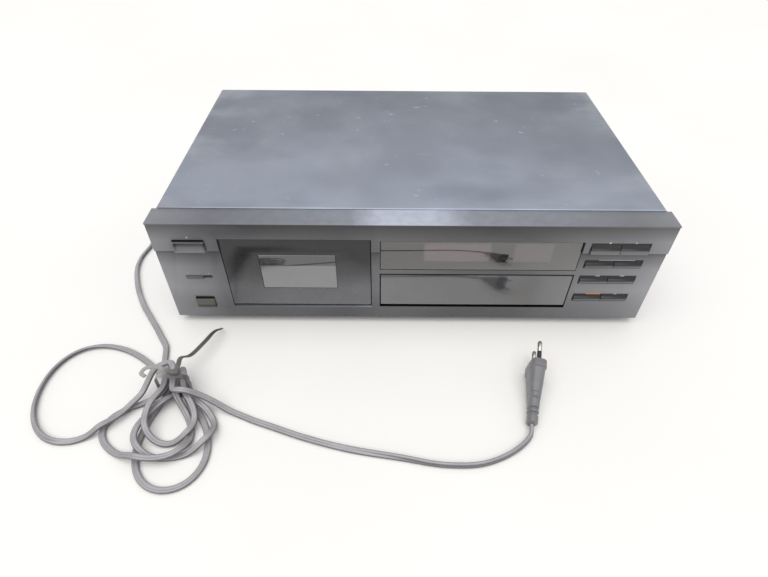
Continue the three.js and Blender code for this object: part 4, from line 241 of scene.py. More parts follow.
class Finish:
    """A procedural material on the piece's own coordinates."""

    def __init__(self, name):
        self.material = bpy.data.materials.new(name)
        self.material.use_nodes = True
        self.tree = self.material.node_tree
        self.tree.nodes.clear()
        self.shader = self.add("ShaderNodeBsdfPrincipled")
        output = self.add("ShaderNodeOutputMaterial")
        self.tree.links.new(self.shader.outputs[0], output.inputs[0])
        self.place = self.add("ShaderNodeTexCoord").outputs["Object"]

    def add(self, kind, values=(), **settings):
        """A node with its settings and its input values or links."""
        made = self.tree.nodes.new(kind)
        for key, value in settings.items():
            setattr(made, key, value)
        for key, value in dict(values).items():
            self.feed(made.inputs[key], value)
        return made

    def feed(self, socket, value):
        """Links a socket to another, or sets its value."""
        if isinstance(value, bpy.types.NodeSocket):
            self.tree.links.new(value, socket)
        elif hasattr(value, "__len__") and len(value) == 3 and socket.type == "RGBA":
            socket.default_value = (*value, 1.0)
        else:
            socket.default_value = value

    def speckle(self, scale, low, high, stretch=(1, 1, 1), detail=3.0, start=0.35, end=0.65):
        """A number that wanders between low and high over the piece."""
        where = self.add("ShaderNodeMapping", {"Vector": self.place, "Scale": stretch}).outputs[0]
        rough = self.add("ShaderNodeTexNoise", {"Vector": where, "Scale": scale, "Detail": detail})
        return self.add("ShaderNodeMapRange", {
            "Value": rough.outputs["Fac"], "From Min": start, "From Max": end, "To Min": low, "To Max": high,
        }).outputs[0]

    def fade(self, axis, stops):
        """A number that changes along an axis of the deck; stops are (place in millimetres, number)."""
        split = self.add("ShaderNodeSeparateXYZ", {0: self.place}).outputs[axis]
        first, last = stops[0][0], stops[-1][0]
        share = self.add("ShaderNodeMapRange", {
            "Value": split, "From Min": first * MM, "From Max": last * MM,
        }).outputs[0]
        band = self.add("ShaderNodeValToRGB", {"Fac": share})
        marks = band.color_ramp.elements
        marks[0].color = (*[stops[0][1]] * 3, 1.0)
        marks[1].color = (*[stops[-1][1]] * 3, 1.0)
        for at, number in stops[1:-1]:
            marks.new((at - first) / (last - first)).color = (*[number] * 3, 1.0)
        return band.outputs[0]

    def times(self, one, two):
        """Two numbers multiplied."""
        return self.add("ShaderNodeMath", {0: one, 1: two}, operation="MULTIPLY").outputs[0]

    def tinted(self, tint, amount):
        """A colour times a number."""
        return self.add("ShaderNodeVectorMath", {0: tint, "Scale": amount}, operation="SCALE").outputs[0]

    def over(self, base, tint, amount):
        """A tint laid over a colour where the amount is high."""
        mix = self.add("ShaderNodeMix", {0: amount, 6: base, 7: tint}, data_type="RGBA")
        return mix.outputs[2]

    def upward(self):
        """1 on what faces up, 0 elsewhere."""
        facing = self.add("ShaderNodeSeparateXYZ", {0: self.add("ShaderNodeNewGeometry").outputs["Normal"]})
        return self.add("ShaderNodeMapRange", {
            "Value": facing.outputs[2], "From Min": 0.45, "From Max": 0.8,
        }).outputs[0]


def finish(name, tint, rough, cloud=(30.0, 0.06), grain=(900.0, 0.02), wear=0.05, stretch=(1, 1, 1), fades=(),
           layer=None, **shader):
    """Material with a cloudy colour, uneven roughness and a fine grain. Further words set shader sockets."""
    made = Finish(name)
    amount = made.speckle(cloud[0], 1 - cloud[1], 1 + cloud[1], stretch)
    for axis, stops in fades:
        amount = made.times(amount, made.fade(axis, stops))
    base = made.tinted(tuple(tint), amount)
    if layer:
        base = layer(made, base)
    made.feed(made.shader.inputs["Base Color"], base)
    made.feed(made.shader.inputs["Roughness"], made.speckle(
        cloud[0] * 2.3, max(rough - wear, 0.02), rough + wear, stretch))
    fine = made.speckle(grain[0], 0.0, 1.0, stretch, 2.0)
    bump = made.add("ShaderNodeBump", {"Height": fine, "Strength": grain[1], "Distance": 0.1 * MM})
    made.feed(made.shader.inputs["Normal"], bump.outputs[0])
    for key, value in shader.items():
        made.feed(made.shader.inputs[key.replace("_", " ").title().replace("Ior", "IOR")], value)
    return made.material


def worn_paint(made, base):
    """Dull clouds, pale smears and fine scratches of a used painted cover."""
    clouds = made.speckle(13.0, 0.0, 0.42, (1, 0.7, 1), 9.0, 0.44, 0.7)
    base = made.over(base, (0.36, 0.385, 0.44), clouds)
    smears = made.speckle(9.0, 0.0, 0.5, (0.7, 1.5, 1), 7.0, 0.5, 0.7)
    base = made.over(base, (0.12, 0.135, 0.165), smears)
    edges = made.fade(0, [(-214.6, 0.75), (-175, 0.4), (-120, 0.0), (130, 0.0), (185, 0.4), (214.6, 0.75)])
    rubbed = made.times(edges, made.speckle(19.0, 0.0, 0.9, (0.8, 1.0, 1), 9.0, 0.46, 0.66))
    base = made.over(base, (0.36, 0.38, 0.42), rubbed)
    bare = (0.5, 0.53, 0.6)
    base = made.over(base, bare, made.speckle(90.0, 0.0, 0.4, (1, 1, 1), 2.0, 0.7, 0.78))
    for scale, stretch in ((40.0, (0.8, 14.0, 1)), (36.0, (12.0, 0.9, 1))):
        base = made.over(base, bare, made.speckle(scale, 0.0, 0.2, stretch, 3.0, 0.7, 0.78))
    return base


def painted_flank_shade(made, base):
    """Painted shade: the sheath's sides and groove darker than its round tops, which face up."""
    normal = made.add("ShaderNodeSeparateXYZ", {0: made.add("ShaderNodeNewGeometry").outputs["Normal"]})
    share = made.add("ShaderNodeMapRange", {
        "Value": normal.outputs[2], "From Min": 0.25, "From Max": 0.92, "To Min": 0.85, "To Max": 0.0,
    }).outputs[0]
    return made.over(base, (0.045, 0.043, 0.05), share)


def painted_brow_reflection(made, base):
    """Painted reflection: the pale upper side of the brow, brightest at the middle and uneven."""
    share = made.fade(0, [
        (-217, 0.12), (-173, 0.14), (-92, 0.33), (-50, 0.42), (-26, 0.97), (16, 0.97), (48, 0.43),
        (120, 0.31), (185, 0.1), (217, 0.08)])
    unevenness = made.speckle(120.0, 0.9, 1.1, detail=5.0)
    return made.over(base, (0.47, 0.5, 0.59), made.times(made.times(made.upward(), share), unevenness))


def between(spans):
    """Stops that are 1 inside the spans and 0 outside, for a fade."""
    stops = [(spans[0][0] - 1, 0)]
    for low, high in spans:
        stops += [(low, 0), (low + 0.1, 1), (high - 0.1, 1), (high, 0)]
    return stops + [(spans[-1][1] + 1, 0)]


def opening_shade(made, base):
    """Painted shade: dull dark rims round the openings that the flap, the display window and the keys sit in.
    """
    for sides, heights in PAINTED_SHADE_RIMS:
        inside = made.times(made.fade(0, between([sides])), made.fade(2, between(heights)))
        base = made.over(base, (0.004, 0.004, 0.004), inside)
    return base


def front_layers(made, base):
    """The front's painted reflection on the brow and the painted shade in the rims of its openings."""
    return opening_shade(made, painted_brow_reflection(made, base))


def tube_panes(made, base):
    """The two pale panes of the tube that show through the window."""
    high = made.fade(2, [(68, 0), (77.3, 0), (77.8, 1), (96.8, 1), (97.3, 0), (99.5, 0)])
    along = made.fade(0, [
        (-26, 0), (10.8, 0), (11.4, 1), (67, 1), (67.6, 0), (87.8, 0), (88.4, 0.8), (120, 0.8), (120.6, 0),
        (144.3, 0)])
    return made.over(base, (0.105, 0.078, 0.085), made.times(high, along))


def row_bands(names, lug):
    """Height stops of the keys: on each row a painted reflection on the pale foot, painted shade on the dark
    hollow face and a painted shadow along the black top edge.

    lug is how far a key's hidden lugs reach past its face; the tall keys show more of their foot.
    """
    rows = sorted({(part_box(name)[0][2] / MM + lug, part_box(name)[1][2] / MM - lug) for name in names})
    stops = []
    for low, high in rows:
        tall = high - low
        foot = 0.4 if tall > 9 else 0.22
        stops += [(low, 0.9), (low + tall * foot, 0.7), (low + tall * (foot + 0.08), 0.14), (high - 0.5, 0.1),
                  (high - 0.3, 0.01), (high, 0.01)]
    return stops


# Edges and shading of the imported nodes

def mesh_group(name):
    """Empty node group that takes a mesh in and gives one out, with its first and last node."""
    group = bpy.data.node_groups.new(name, "GeometryNodeTree")
    for way in ("INPUT", "OUTPUT"):
        group.interface.new_socket("Geometry", in_out=way, socket_type="NodeSocketGeometry")
    return group, group.nodes.new("NodeGroupInput"), group.nodes.new("NodeGroupOutput")


def weld_group():
    """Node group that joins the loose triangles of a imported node."""
    group, start, end = mesh_group("weld_triangles")
    drop = group.nodes.new("GeometryNodeRemoveAttribute")
    drop.inputs["Name"].default_value = "custom_normal"
    join = group.nodes.new("GeometryNodeMergeByDistance")
    join.inputs["Distance"].default_value = 0.002 * MM
    group.links.new(start.outputs[0], drop.inputs[0])
    group.links.new(drop.outputs[0], join.inputs[0])
    group.links.new(join.outputs[0], end.inputs[0])
    return group


def shade_group(angle):
    """Node group that shades smoothly over edges flatter than an angle."""
    group, start, end = mesh_group("smooth_by_angle")
    faces = group.nodes.new("GeometryNodeSetShadeSmooth")
    edges = group.nodes.new("GeometryNodeSetShadeSmooth")
    edges.domain = "EDGE"
    bend = group.nodes.new("GeometryNodeInputMeshEdgeAngle")
    flat = group.nodes.new("FunctionNodeCompare")
    flat.operation = "LESS_THAN"
    flat.inputs[1].default_value = angle
    group.links.new(start.outputs[0], faces.inputs["Geometry"])
    group.links.new(faces.outputs[0], edges.inputs["Geometry"])
    group.links.new(bend.outputs["Unsigned Angle"], flat.inputs[0])
    group.links.new(flat.outputs[0], edges.inputs["Shade Smooth"])
    group.links.new(edges.outputs[0], end.inputs[0])
    return group


def groups():
    """The two shared node groups."""
    found = bpy.data.node_groups
    weld = found.get("weld_triangles") or weld_group()
    return weld, found.get("smooth_by_angle") or shade_group(SMOOTH_BELOW)


def dress(names, material, edge=1.0, steps=2):
    """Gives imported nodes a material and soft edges; edge is a share of the general edge radius."""
    radius = bpy.context.scene.deck_sizes.edge * edge
    weld, shade = groups()
    for name in names:
        node = NODES[name]
        node.data.materials.clear()
        node.data.materials.append(material)
        node.modifiers.new("joined", "NODES").node_group = weld
        if radius:
            flat = node.modifiers.new("flat faces", "DECIMATE")
            flat.decimate_type = "DISSOLVE"
            flat.angle_limit = FLAT_BELOW
            soft = node.modifiers.new("soft edges", "BEVEL")
            soft.width = radius
            soft.segments = steps
            soft.limit_method = "ANGLE"
            soft.angle_limit = ROUND_OVER
        node.modifiers.new("smooth", "NODES").node_group = shade


def plain(names, title, tint, rough, cloud, edge=1.0, **more):
    """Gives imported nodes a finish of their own."""
    dress(names, finish(title, tint, rough, cloud=cloud, **more), edge)


# Shapes

def finished(name, bm, material, body, smooth=math.radians(35), place=None):
    """Turns a mesh in millimetres into a piece that rides a body."""
    bmesh.ops.recalc_face_normals(bm, faces=bm.faces)
    bm.transform(Matrix.Scale(MM, 4) @ (place or Matrix()))
    for face in bm.faces:
        face.smooth = True
    for edge in bm.edges:
        edge.smooth = edge.calc_face_angle(0.0) < smooth
    mesh = bpy.data.meshes.new(name)
    bm.to_mesh(mesh)
    bm.free()
    mesh.materials.append(material)
    piece = bpy.data.objects.new(name, mesh)
    bpy.context.scene.collection.objects.link(piece)
    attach(piece, body)
    return piece


def smooth_path(points, step):
    """Points at about equal steps on a smooth line through the given ones."""
    knots = [Vector(p) for p in points]
    gaps = [(b - a).length for a, b in zip(knots, knots[1:])]
    slopes = [(knots[1] - knots[0]) / gaps[0]]
    for i in range(1, len(knots) - 1):
        before, after = gaps[i - 1], gaps[i]
        ahead = (knots[i + 1] - knots[i]) / after
        behind = (knots[i] - knots[i - 1]) / before
        slopes.append((ahead * before + behind * after) / (before + after))
    slopes.append((knots[-1] - knots[-2]) / gaps[-1])
    line = []
    for i, gap in enumerate(gaps):
        count = max(1, round(gap / step))
        for k in range(count):
            t = k / count
            line.append(
                knots[i] * (2 * t ** 3 - 3 * t ** 2 + 1) + slopes[i] * gap * (t ** 3 - 2 * t ** 2 + t)
                + knots[i + 1] * (3 * t ** 2 - 2 * t ** 3) + slopes[i + 1] * gap * (t ** 3 - t ** 2))
    return line + [knots[-1]]


def relaxed(line, rounds, held=4):
    """The same line with its small kinks eased; its ends stay."""
    for _ in range(rounds):
        eased = [(a + b * 2 + c) / 4 for a, b, c in zip(line, line[1:], line[2:])]
        line = line[:held] + eased[held - 1:len(eased) - held + 1] + line[-held:]
    return line


def roll_at(point):
    """How far the flat lead is rolled onto its edge there: out on the left, and towards the plug."""
    left_from, left_run, left_roll = -255, 40, math.radians(50)
    plug_from, plug_run, plug_roll = -70, 80, math.radians(75)
    in_front = point.y < -150
    left = min(max((left_from - point.x) / left_run, 0), 1) * left_roll
    right = min(max((point.x - plug_from) / plug_run, 0), 1) * plug_roll if in_front else 0.0
    return left + right


def lead_line(sizes):
    """Middle line of the whole lead, in millimetres, high enough for its edge to clear the table."""
    round_half = sizes.lead_thick / MM / 2
    flat_half = (sizes.lead_width - sizes.lead_thick) / MM / 2
    clear = 0.1
    line = []
    for point in relaxed(smooth_path(LEAD_POINTS + BUNDLE_POINTS + TAIL_POINTS, 2.4), 6):
        least = round_half + flat_half * math.sin(roll_at(point)) + clear
        line.append(Vector((point.x, point.y, max(point.z, least))))
    return line


def skin(bm, rings, closed=False):
    """Faces between rings of points in a row. A closed row joins up, others get two ends."""
    count = len(rings[0])
    for one, two in zip(rings, rings[1:] + rings[:1] if closed else rings[1:]):
        for k in range(count):
            bm.faces.new((one[k], one[(k + 1) % count], two[(k + 1) % count], two[k]))
    if not closed:
        bm.faces.new(rings[0])
        bm.faces.new(rings[-1])


def sweep(bm, line, section, side, closed=False, grow=None, roll=None):
    """Draws a section along a line. side(tangent) gives the section's first axis, roll(point) turns it."""
    rings = []
    last = len(line) - 1
    for i, point in enumerate(line):
        ahead = line[(i + 1) % len(line)] if closed else line[min(i + 1, last)]
        behind = line[i - 1] if closed else line[max(i - 1, 0)]
        tangent = (ahead - behind).normalized()
        across = Vector(side(tangent)).normalized()
        out = across.cross(tangent).normalized()
        if roll:
            turn = Matrix.Rotation(roll(point), 3, tangent)
            across, out = turn @ across, turn @ out
        scale = grow(i / last) if grow else 1.0
        rings.append([bm.verts.new(point + across * a * scale + out * b) for a, b in section])
    skin(bm, rings, closed)


def level(tangent):
    """Sideways from a line, level with the table."""
    return (-tangent.y, tangent.x, 0.0)


def two_core(width, thick, steps=8):
    """Section of a flat two-core lead: two round cores with a groove between them."""
    radius = thick / 2
    shift = width / 2 - radius
    reach = math.acos(-min(1.0, shift / radius)) * 0.96
    points = []
    for sign, start in ((1, -reach), (-1, math.pi - reach)):
        for k in range(steps + 1):
            angle = start + 2 * reach * k / steps
            points.append((sign * shift + radius * math.cos(angle), radius * math.sin(angle)))
    return points


def strip(width, thick, corner=0.25):
    """Section of a band with cut corners."""
    a, b, c = width / 2, thick / 2, corner
    right = [(a - c, -b), (a, c - b), (a, b - c), (a - c, b)]
    return right + [(-x, y) for x, y in reversed(right)]


def lathe(bm, profile, steps, place=None, ring=False):
    """Turned solid about X: profile is (place along X, radius). A ring's profile closes on itself."""
    loops = []
    made = []
    for x, radius in profile:
        turns = [2 * math.pi * k / steps for k in range(steps)]
        loops.append([bm.verts.new((x, radius * math.cos(turn), radius * math.sin(turn))) for turn in turns])
        made += loops[-1]
    skin(bm, loops, ring)
    if place:
        bmesh.ops.transform(bm, matrix=place, verts=made)


def screw_head(heads, crosses, place, radius, steps):
    """Cross-head screw that stands along the place's X; its slots go into a mesh of their own."""
    lathe(heads, [(-0.2, radius), (0.7, radius), (1.3, radius * 0.84), (1.55, radius * 0.6)], steps, place)
    for turn in (0, math.radians(90)):
        slot = Matrix.Translation((1.5, 0, 0)) @ Matrix.Rotation(turn, 4, "X") @ Matrix.Diagonal(
            (0.16, radius * 1.05, radius * 0.22, 1.0))
        bmesh.ops.create_cube(crosses, size=1.0, matrix=place @ slot)


def squared(angle, power):
    """Point of a round corner that gets squarer as the power falls."""
    c, s = math.cos(angle), math.sin(angle)
    return math.copysign(abs(c) ** power, c), math.copysign(abs(s) ** power, s)


def loft(bm, rings, steps=36):
    """Solid through rounded rings: (place along X, half width, half thickness, squareness)."""
    loops = []
    for x, wide, thick, square in rings:
        loop = []
        for k in range(steps):
            c, s = squared(2 * math.pi * k / steps, 2 / square)
            loop.append(bm.verts.new((x, wide * c, thick * s)))
        loops.append(loop)
    skin(bm, loops)


def tile(bm, outline, front, thick):
    """Thin flat plate on the front, from an outline in x and z."""
    rows = [[bm.verts.new((x, y, z)) for x, z in outline] for y in (front - thick, front)]
    bm.faces.new(rows[0])
    bm.faces.new(rows[1])
    for k in range(len(outline)):
        n = (k + 1) % len(outline)
        bm.faces.new((rows[0][k], rows[0][n], rows[1][n], rows[1][k]))


def bar(left, right, low, high):
    """Outline of a bar with short cut corners."""
    c = min(right - left, high - low) * 0.2
    return [(left + c, low), (right - c, low), (right, low + c), (right, high - c),
            (right - c, high), (left + c, high), (left, high - c), (left, low + c)]


def arrow(left, right, low, high):
    """Outline of a triangle that points from left to right."""
    return [(left, low), (right, (low + high) / 2), (left, high)]


def dot(x, z, radius, steps=16):
    """Outline of a round dot."""
    turn = 2 * math.pi / steps
    return [(x + radius * math.cos(turn * k), z + radius * math.sin(turn * k)) for k in range(steps)]


# Operators

class DeckOperator:
    """What all operators of the deck share."""

    bl_options = {"REGISTER", "UNDO"}

    @classmethod
    def poll(cls, context):
        return bool(NODES)


class DECK_OT_stage(DeckOperator, bpy.types.Operator):
    """Makes the camera, the table and the light"""

    bl_idname = "deck.stage"
    bl_label = "Stage"

    def execute(self, context):
        scene = context.scene
        settings = scene.deck_stage
        scene.view_settings.view_transform = "Standard"
        data = bpy.data.cameras.new("camera")
        data.lens = settings.lens
        data.sensor_width = 36.0
        data.clip_start = 0.01
        camera = bpy.data.objects.new("camera", data)
        # Its place was worked out from the corners of the front
        camera.matrix_world = Matrix((
            (0.99997798, -0.00610997, -0.00259127, -0.02409),
            (0.00232283, 0.6879564, -0.7257483, -0.47153),
            (0.00621698, 0.7257263, 0.68795544, 0.36719),
            (0.0, 0.0, 0.0, 1.0)))
        scene.collection.objects.link(camera)
        scene.camera = camera

        bm = bmesh.new()
        bmesh.ops.create_grid(bm, x_segments=8, y_segments=8, size=4.0)
        mesh = bpy.data.meshes.new("table")
        bm.to_mesh(mesh)
        bm.free()
        mesh.materials.append(finish(
            "table", settings.floor, 0.55, cloud=(3.0, 0.012), grain=(300.0, 0.01), specular_ior_level=0.2))
        table = bpy.data.objects.new("table", mesh)
        scene.collection.objects.link(table)

        sun = bpy.data.lights.new("window", "SUN")
        sun.energy = settings.window
        sun.angle = settings.window_spread
        sun.color = (1.0, 0.985, 0.965)
        window = bpy.data.objects.new("window", sun)
        window.rotation_euler = Vector((0.1, 0.3, -0.95)).to_track_quat("-Z", "Y").to_euler()
        scene.collection.objects.link(window)

        world = bpy.data.worlds.new("room")
        world.use_nodes = True
        tree = world.node_tree
        light = tree.nodes["Background"]
        light.inputs["Color"].default_value = (*settings.sky_colour, 1.0)
        light.inputs["Strength"].default_value = settings.sky
        wall = tree.nodes.new("ShaderNodeBackground")
        wall.inputs["Strength"].default_value = settings.wall
        rays = tree.nodes.new("ShaderNodeLightPath")
        seen = rays.outputs["Is Camera Ray"]
        for kind in ("Is Glossy Ray", "Is Transmission Ray"):
            either = tree.nodes.new("ShaderNodeMath")
            either.operation = "MAXIMUM"
            tree.links.new(seen, either.inputs[0])
            tree.links.new(rays.outputs[kind], either.inputs[1])
            seen = either.outputs[0]
        choice = tree.nodes.new("ShaderNodeMixShader")
        for source, socket in zip((seen, light.outputs[0], wall.outputs[0]), choice.inputs):
            tree.links.new(source, socket)
        tree.links.new(choice.outputs[0], tree.nodes["World Output"].inputs["Surface"])
        scene.world = world
        return {"FINISHED"}


class DECK_OT_lead(DeckOperator, bpy.types.Operator):
    """Makes the flat two-core lead with its tied bundle"""

    bl_idname = "deck.lead"
    bl_label = "Lead"

    def execute(self, context):
        sizes = context.scene.deck_sizes
        bm = bmesh.new()
        section = two_core(sizes.lead_width / MM, sizes.lead_thick / MM)
        sweep(bm, lead_line(sizes), section, level, roll=roll_at)
        sheath = finish("lead_sheath_soft", context.scene.deck_colours.lead, 0.3, cloud=(60.0, 0.08),
                        grain=(1200.0, 0.03), layer=painted_flank_shade, coat_weight=0.5, coat_roughness=0.25)
        lead = finished("lead", bm, sheath, "case", smooth=math.radians(50))
        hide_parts("cord_lead", "cord_bundle", "cord_tail")
        return {"FINISHED"}


class DECK_OT_tie(DeckOperator, bpy.types.Operator):
    """Makes the cable tie round the bundle"""

    bl_idname = "deck.tie"
    bl_label = "Cable tie"

    def execute(self, context):
        # The tie is darker from its stub towards its tail's end.
        plastic = finish("tie_plastic", context.scene.deck_colours.tie, 0.4, cloud=(120.0, 0.05),
                         fades=[(0, [(-220, 1.0), (-204, 0.9), (-199, 0.45), (-190, 0.35), (-175, 0.22)])],
                         transmission_weight=0.25, ior=1.45)
        bm = bmesh.new()
        x, y = NECK_AT
        play = 0.45
        wide = NECK_HALF + play
        middle = (NECK_LOW + NECK_TOP) / 2 + play
        tall = (NECK_TOP - NECK_LOW) / 2
        steps = 48
        boxy = 0.4
        ring = []
        for k in range(steps):
            c, s = squared(2 * math.pi * k / steps, boxy)
            ring.append(Vector((x + wide * c, y, middle + tall * s)))
        sweep(bm, ring, strip(4.2, 0.8), lambda tangent: (0, 1, 0), closed=True)
        head_place = Matrix.Translation((-192.5, -214.9, 29.3)) @ Matrix.Diagonal((6.4, 4.3, 2.6, 1.0))
        head = bmesh.ops.create_cube(bm, size=1.0, matrix=head_place)
        edges = {edge for vert in head["verts"] for edge in vert.link_edges}
        bmesh.ops.bevel(bm, geom=list(edges), offset=0.6, segments=2, affect="EDGES", profile=0.6)
        tail = smooth_path(TIE_TAIL, 1.5)
        sweep(bm, tail, strip(4.0, 0.9), level, grow=lambda share: 1.0 - 0.45 * max(0.0, share - 0.7) / 0.3)
        sweep(bm, smooth_path(TIE_STUB, 1.2), strip(3.2, 1.3), level)
        for behind, point, ahead in list(zip(tail, tail[1:], tail[2:]))[4:-5]:
            along = (ahead - behind).normalized()
            across = Vector(level(along)).normalized()
            out = across.cross(along)
            if out.z < 0:
                out = -out
            turned = Matrix((across, along, out)).transposed().to_4x4()
            ridge = Matrix.Translation(point + out * 0.5) @ turned @ Matrix.Diagonal((2.2, 0.6, 0.35, 1.0))
            bmesh.ops.create_cube(bm, size=1.0, matrix=ridge)
        tie = finished("tie_band", bm, plastic, "case")
        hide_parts("cable_tie")
        return {"FINISHED"}


class DECK_OT_plug(DeckOperator, bpy.types.Operator):
    """Makes the flat two-pin plug on the end of the lead"""

    bl_idname = "deck.plug"
    bl_label = "Plug"

    def execute(self, context):
        colours = context.scene.deck_colours
        sizes = context.scene.deck_sizes
        moulding = finish("plug_moulding", colours.plug, 0.38, cloud=(90.0, 0.06), grain=(1500.0, 0.03))
        bm = bmesh.new()
        loft(bm, [
            (0, 4.2, 2.9, 2.2), (0.8, 5.9, 4.3, 2.3), (6.2, 6.1, 4.4, 2.4), (7, 4.7, 3.5, 2.4),
            (8.6, 4.7, 3.5, 2.4), (9.3, 6.2, 4.5, 2.4), (10.8, 6.3, 4.5, 2.4), (11.5, 5, 3.7, 2.4),
            (12.8, 5, 3.7, 2.4), (13.5, 6.5, 4.6, 2.5), (16, 6.8, 4.6, 2.6), (20.4, 7.3, 4.8, 2.7),
            (21.2, 9.3, 4.6, 3.2), (24.8, 9.6, 4.8, 3.2), (25.8, 8.8, 5.3, 2.8), (33, 10.6, 5.9, 2.9),
            (40, 12, 6.3, 3), (45.4, 13, 6.6, 3.1), (46, 13.4, 6.7, 3.2), (46.3, 14.7, 6.6, 3.8),
            (46.9, 15.2, 6.95, 4), (52, 15.2, 6.95, 4), (52.7, 14.9, 6.6, 4), (53, 14.2, 6, 4),
        ])
        body = finished("plug_moulded", bm, moulding, "case", place=PLUG_PLACE)
        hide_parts("plug_body")
        metal = finish("pin_metal", (0.62, 0.6, 0.56), 0.25, cloud=(200.0, 0.05), metallic=1.0)
        sleeve = finish("pin_sleeve", (0.03, 0.03, 0.032), 0.5, cloud=(200.0, 0.05))
        parts = [body]
        radius = sizes.pin / MM
        half_pitch = 9.3
        for side, name in ((1, "left"), (-1, "right")):
            place = PLUG_PLACE @ Matrix.Translation((0, side * half_pitch, 0))
            bm = bmesh.new()
            lathe(bm, [
                (61.6, radius * 0.9), (62, radius), (69.8, radius), (70.8, radius * 0.88),
                (71.6, radius * 0.6), (72, radius * 0.2)], sizes.ring_steps)
            pin = finished("pin_" + name, bm, metal, "case", place=place)
            bm = bmesh.new()
            lathe(bm, [
                (52.6, radius * 1.3), (53.6, radius * 1.25), (54, radius * 0.94), (61.9, radius * 0.94)],
                sizes.ring_steps)
            root = finished("pin_sleeve_" + name, bm, sleeve, "case", place=place)
            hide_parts("plug_pin_" + name)
            parts += [pin, root]
        parts.append(bpy.data.objects["tie_band"])
        return {"FINISHED"}


class DECK_OT_case(DeckOperator, bpy.types.Operator):
    """Finishes the case: cover, front moulding, tray, feet and rear panel"""

    bl_idname = "deck.case"
    bl_label = "Case"

    def execute(self, context):
        colours = context.scene.deck_colours
        # Painted light on the cover: a painted highlight along its front edge and a painted reflection that
        # makes it lighter towards the front; it is also darker towards both sides.
        cover = finish(
            "cover_paint", colours.cover, 0.42, cloud=(9.0, 0.12), grain=(1600.0, 0.05), wear=0.04,
            fades=[(1, [(-112.2, 3.4), (-111.85, 3.0), (-111.5, 1.5), (-60, 1.28), (0, 1.06), (127.4, 0.82)]),
                   (0, [(-217, 0.9), (-120, 1.0), (120, 1.0), (217, 0.86)])],
            layer=worn_paint)
        dress(["top_cover"], cover, 0.6, 3)
        # Painted light on the front: a painted reflection that makes it lighter towards both ends and lower
        # down, a painted shadow under the step at 87.3 mm and painted shade under the nose.
        front = finish(
            "front_satin", colours.panel, 0.36, cloud=(25.0, 0.05), grain=(1800.0, 0.03),
            fades=[
                (0, [(-217.5, 2.6), (-195, 2.1), (-165, 1.2), (-60, 0.9), (-34, 1.1), (-28, 1.25), (40, 0.95),
                     (100, 1.0), (150, 1.55), (190, 2.0), (217.5, 2.6)]),
                (2, [(8, 1.1), (24, 1.3), (45, 1.75), (70, 1.5), (84, 0.8), (87.3, 0.4), (87.7, 1.35),
                     (101, 1.35), (108, 0.95), (115, 0.55), (117.6, 1.0)]),
            ],
            layer=front_layers)
        dress(["front_panel"], front, 0.8)
        plain(["rear_panel"], "rear_paint", (0.05, 0.05, 0.052), 0.5, (20.0, 0.06))
        plain(["chassis", "transport_plate", "flywheel_bracket", "head_plate"], "zinc_sheet_plain",
              (0.42, 0.43, 0.42), 0.38, (45.0, 0.12), 0.6, stretch=(1, 6, 1), metallic=1.0)
        plain([name for name in NODES if name.startswith("foot_")], "foot_moulding",
              (0.022, 0.022, 0.023), 0.6, (60.0, 0.1), 1.5)
        return {"FINISHED"}


class DECK_OT_door(DeckOperator, bpy.types.Operator):
    """Finishes the cassette door, its window and the holder"""

    bl_idname = "deck.door"
    bl_label = "Cassette door"

    def execute(self, context):
        colours = context.scene.deck_colours
        # Painted light on the door: a painted reflection that makes it lighter lower down and towards its
        # right, and painted shadow in the gaps along its left and right edges.
        door = finish(
            "door_gloss", colours.gloss, 0.26, cloud=(30.0, 0.08), grain=(900.0, 0.005), coat_weight=0.5,
            coat_roughness=0.2, coat_ior=1.45,
            fades=[(0, [(-166, 0.02), (-165.4, 0.02), (-165.1, 0.7), (-120, 1.0), (-31.8, 1.2), (-31.2, 0.02),
                        (-30.7, 0.02)]),
                   (2, [(21, 2.4), (45, 2.3), (62, 0.9), (80, 0.15), (100.5, 0.1)])])
        dress(["door_panel"], door, 0.8)
        # Painted reflection on the door's window: a bright line at its foot, a pale lower band, a dark upper
        # band and a pale top.
        pane = finish(
            "door_pane", colours.smoked, 0.12, cloud=(40.0, 0.05), grain=(700.0, 0.004), coat_weight=1.0,
            coat_roughness=0.03, coat_ior=1.8,
            fades=[(2, [(45, 5.5), (46, 3.6), (70.6, 3.4), (71.6, 0.8), (82, 0.7), (82.6, 3.0), (83, 3.0)])])
        dress(["door_window"], pane, 0.7)
        plain(["cassette_holder"], "holder_moulding", (0.03, 0.03, 0.032), 0.5, (60.0, 0.08), 0.5)
        plain(["door_damper"], "damper_moulding", (0.04, 0.04, 0.042), 0.5, (80.0, 0.08), 0.5)
        plain(["damper_gear", "spindle_left", "spindle_right", "erase_head"], "pale_moulding",
              (0.62, 0.6, 0.55), 0.45, (90.0, 0.05), 0.3)
        return {"FINISHED"}


class DECK_OT_display(DeckOperator, bpy.types.Operator):
    """Finishes the display window with the tube and board behind it"""

    bl_idname = "deck.display"
    bl_label = "Display"

    def execute(self, context):
        colours = context.scene.deck_colours
        # Painted reflection on the display window: lighter towards its right.
        pane = finish(
            "display_pane", Vector(colours.smoked) * 0.15, 0.1, cloud=(30.0, 0.05), grain=(500.0, 0.003),
            coat_weight=1.0, coat_roughness=0.01, coat_ior=2.2, alpha=0.85,
            fades=[(0, [(-26, 0.4), (10, 1.2), (90, 2.6), (144.3, 3.6)])], layer=tube_panes)
        dress(["display_window"], pane, 0.6)
        plain(["display_tube"], "tube_glass_grey", (0.3, 0.27, 0.28), 0.18, (60.0, 0.06), coat_weight=0.6)
        plain(["front_board", "main_board"], "board_laminate_brown",
              (0.2, 0.13, 0.05), 0.6, (120.0, 0.14), 0.3, stretch=(1, 1, 4))
        return {"FINISHED"}


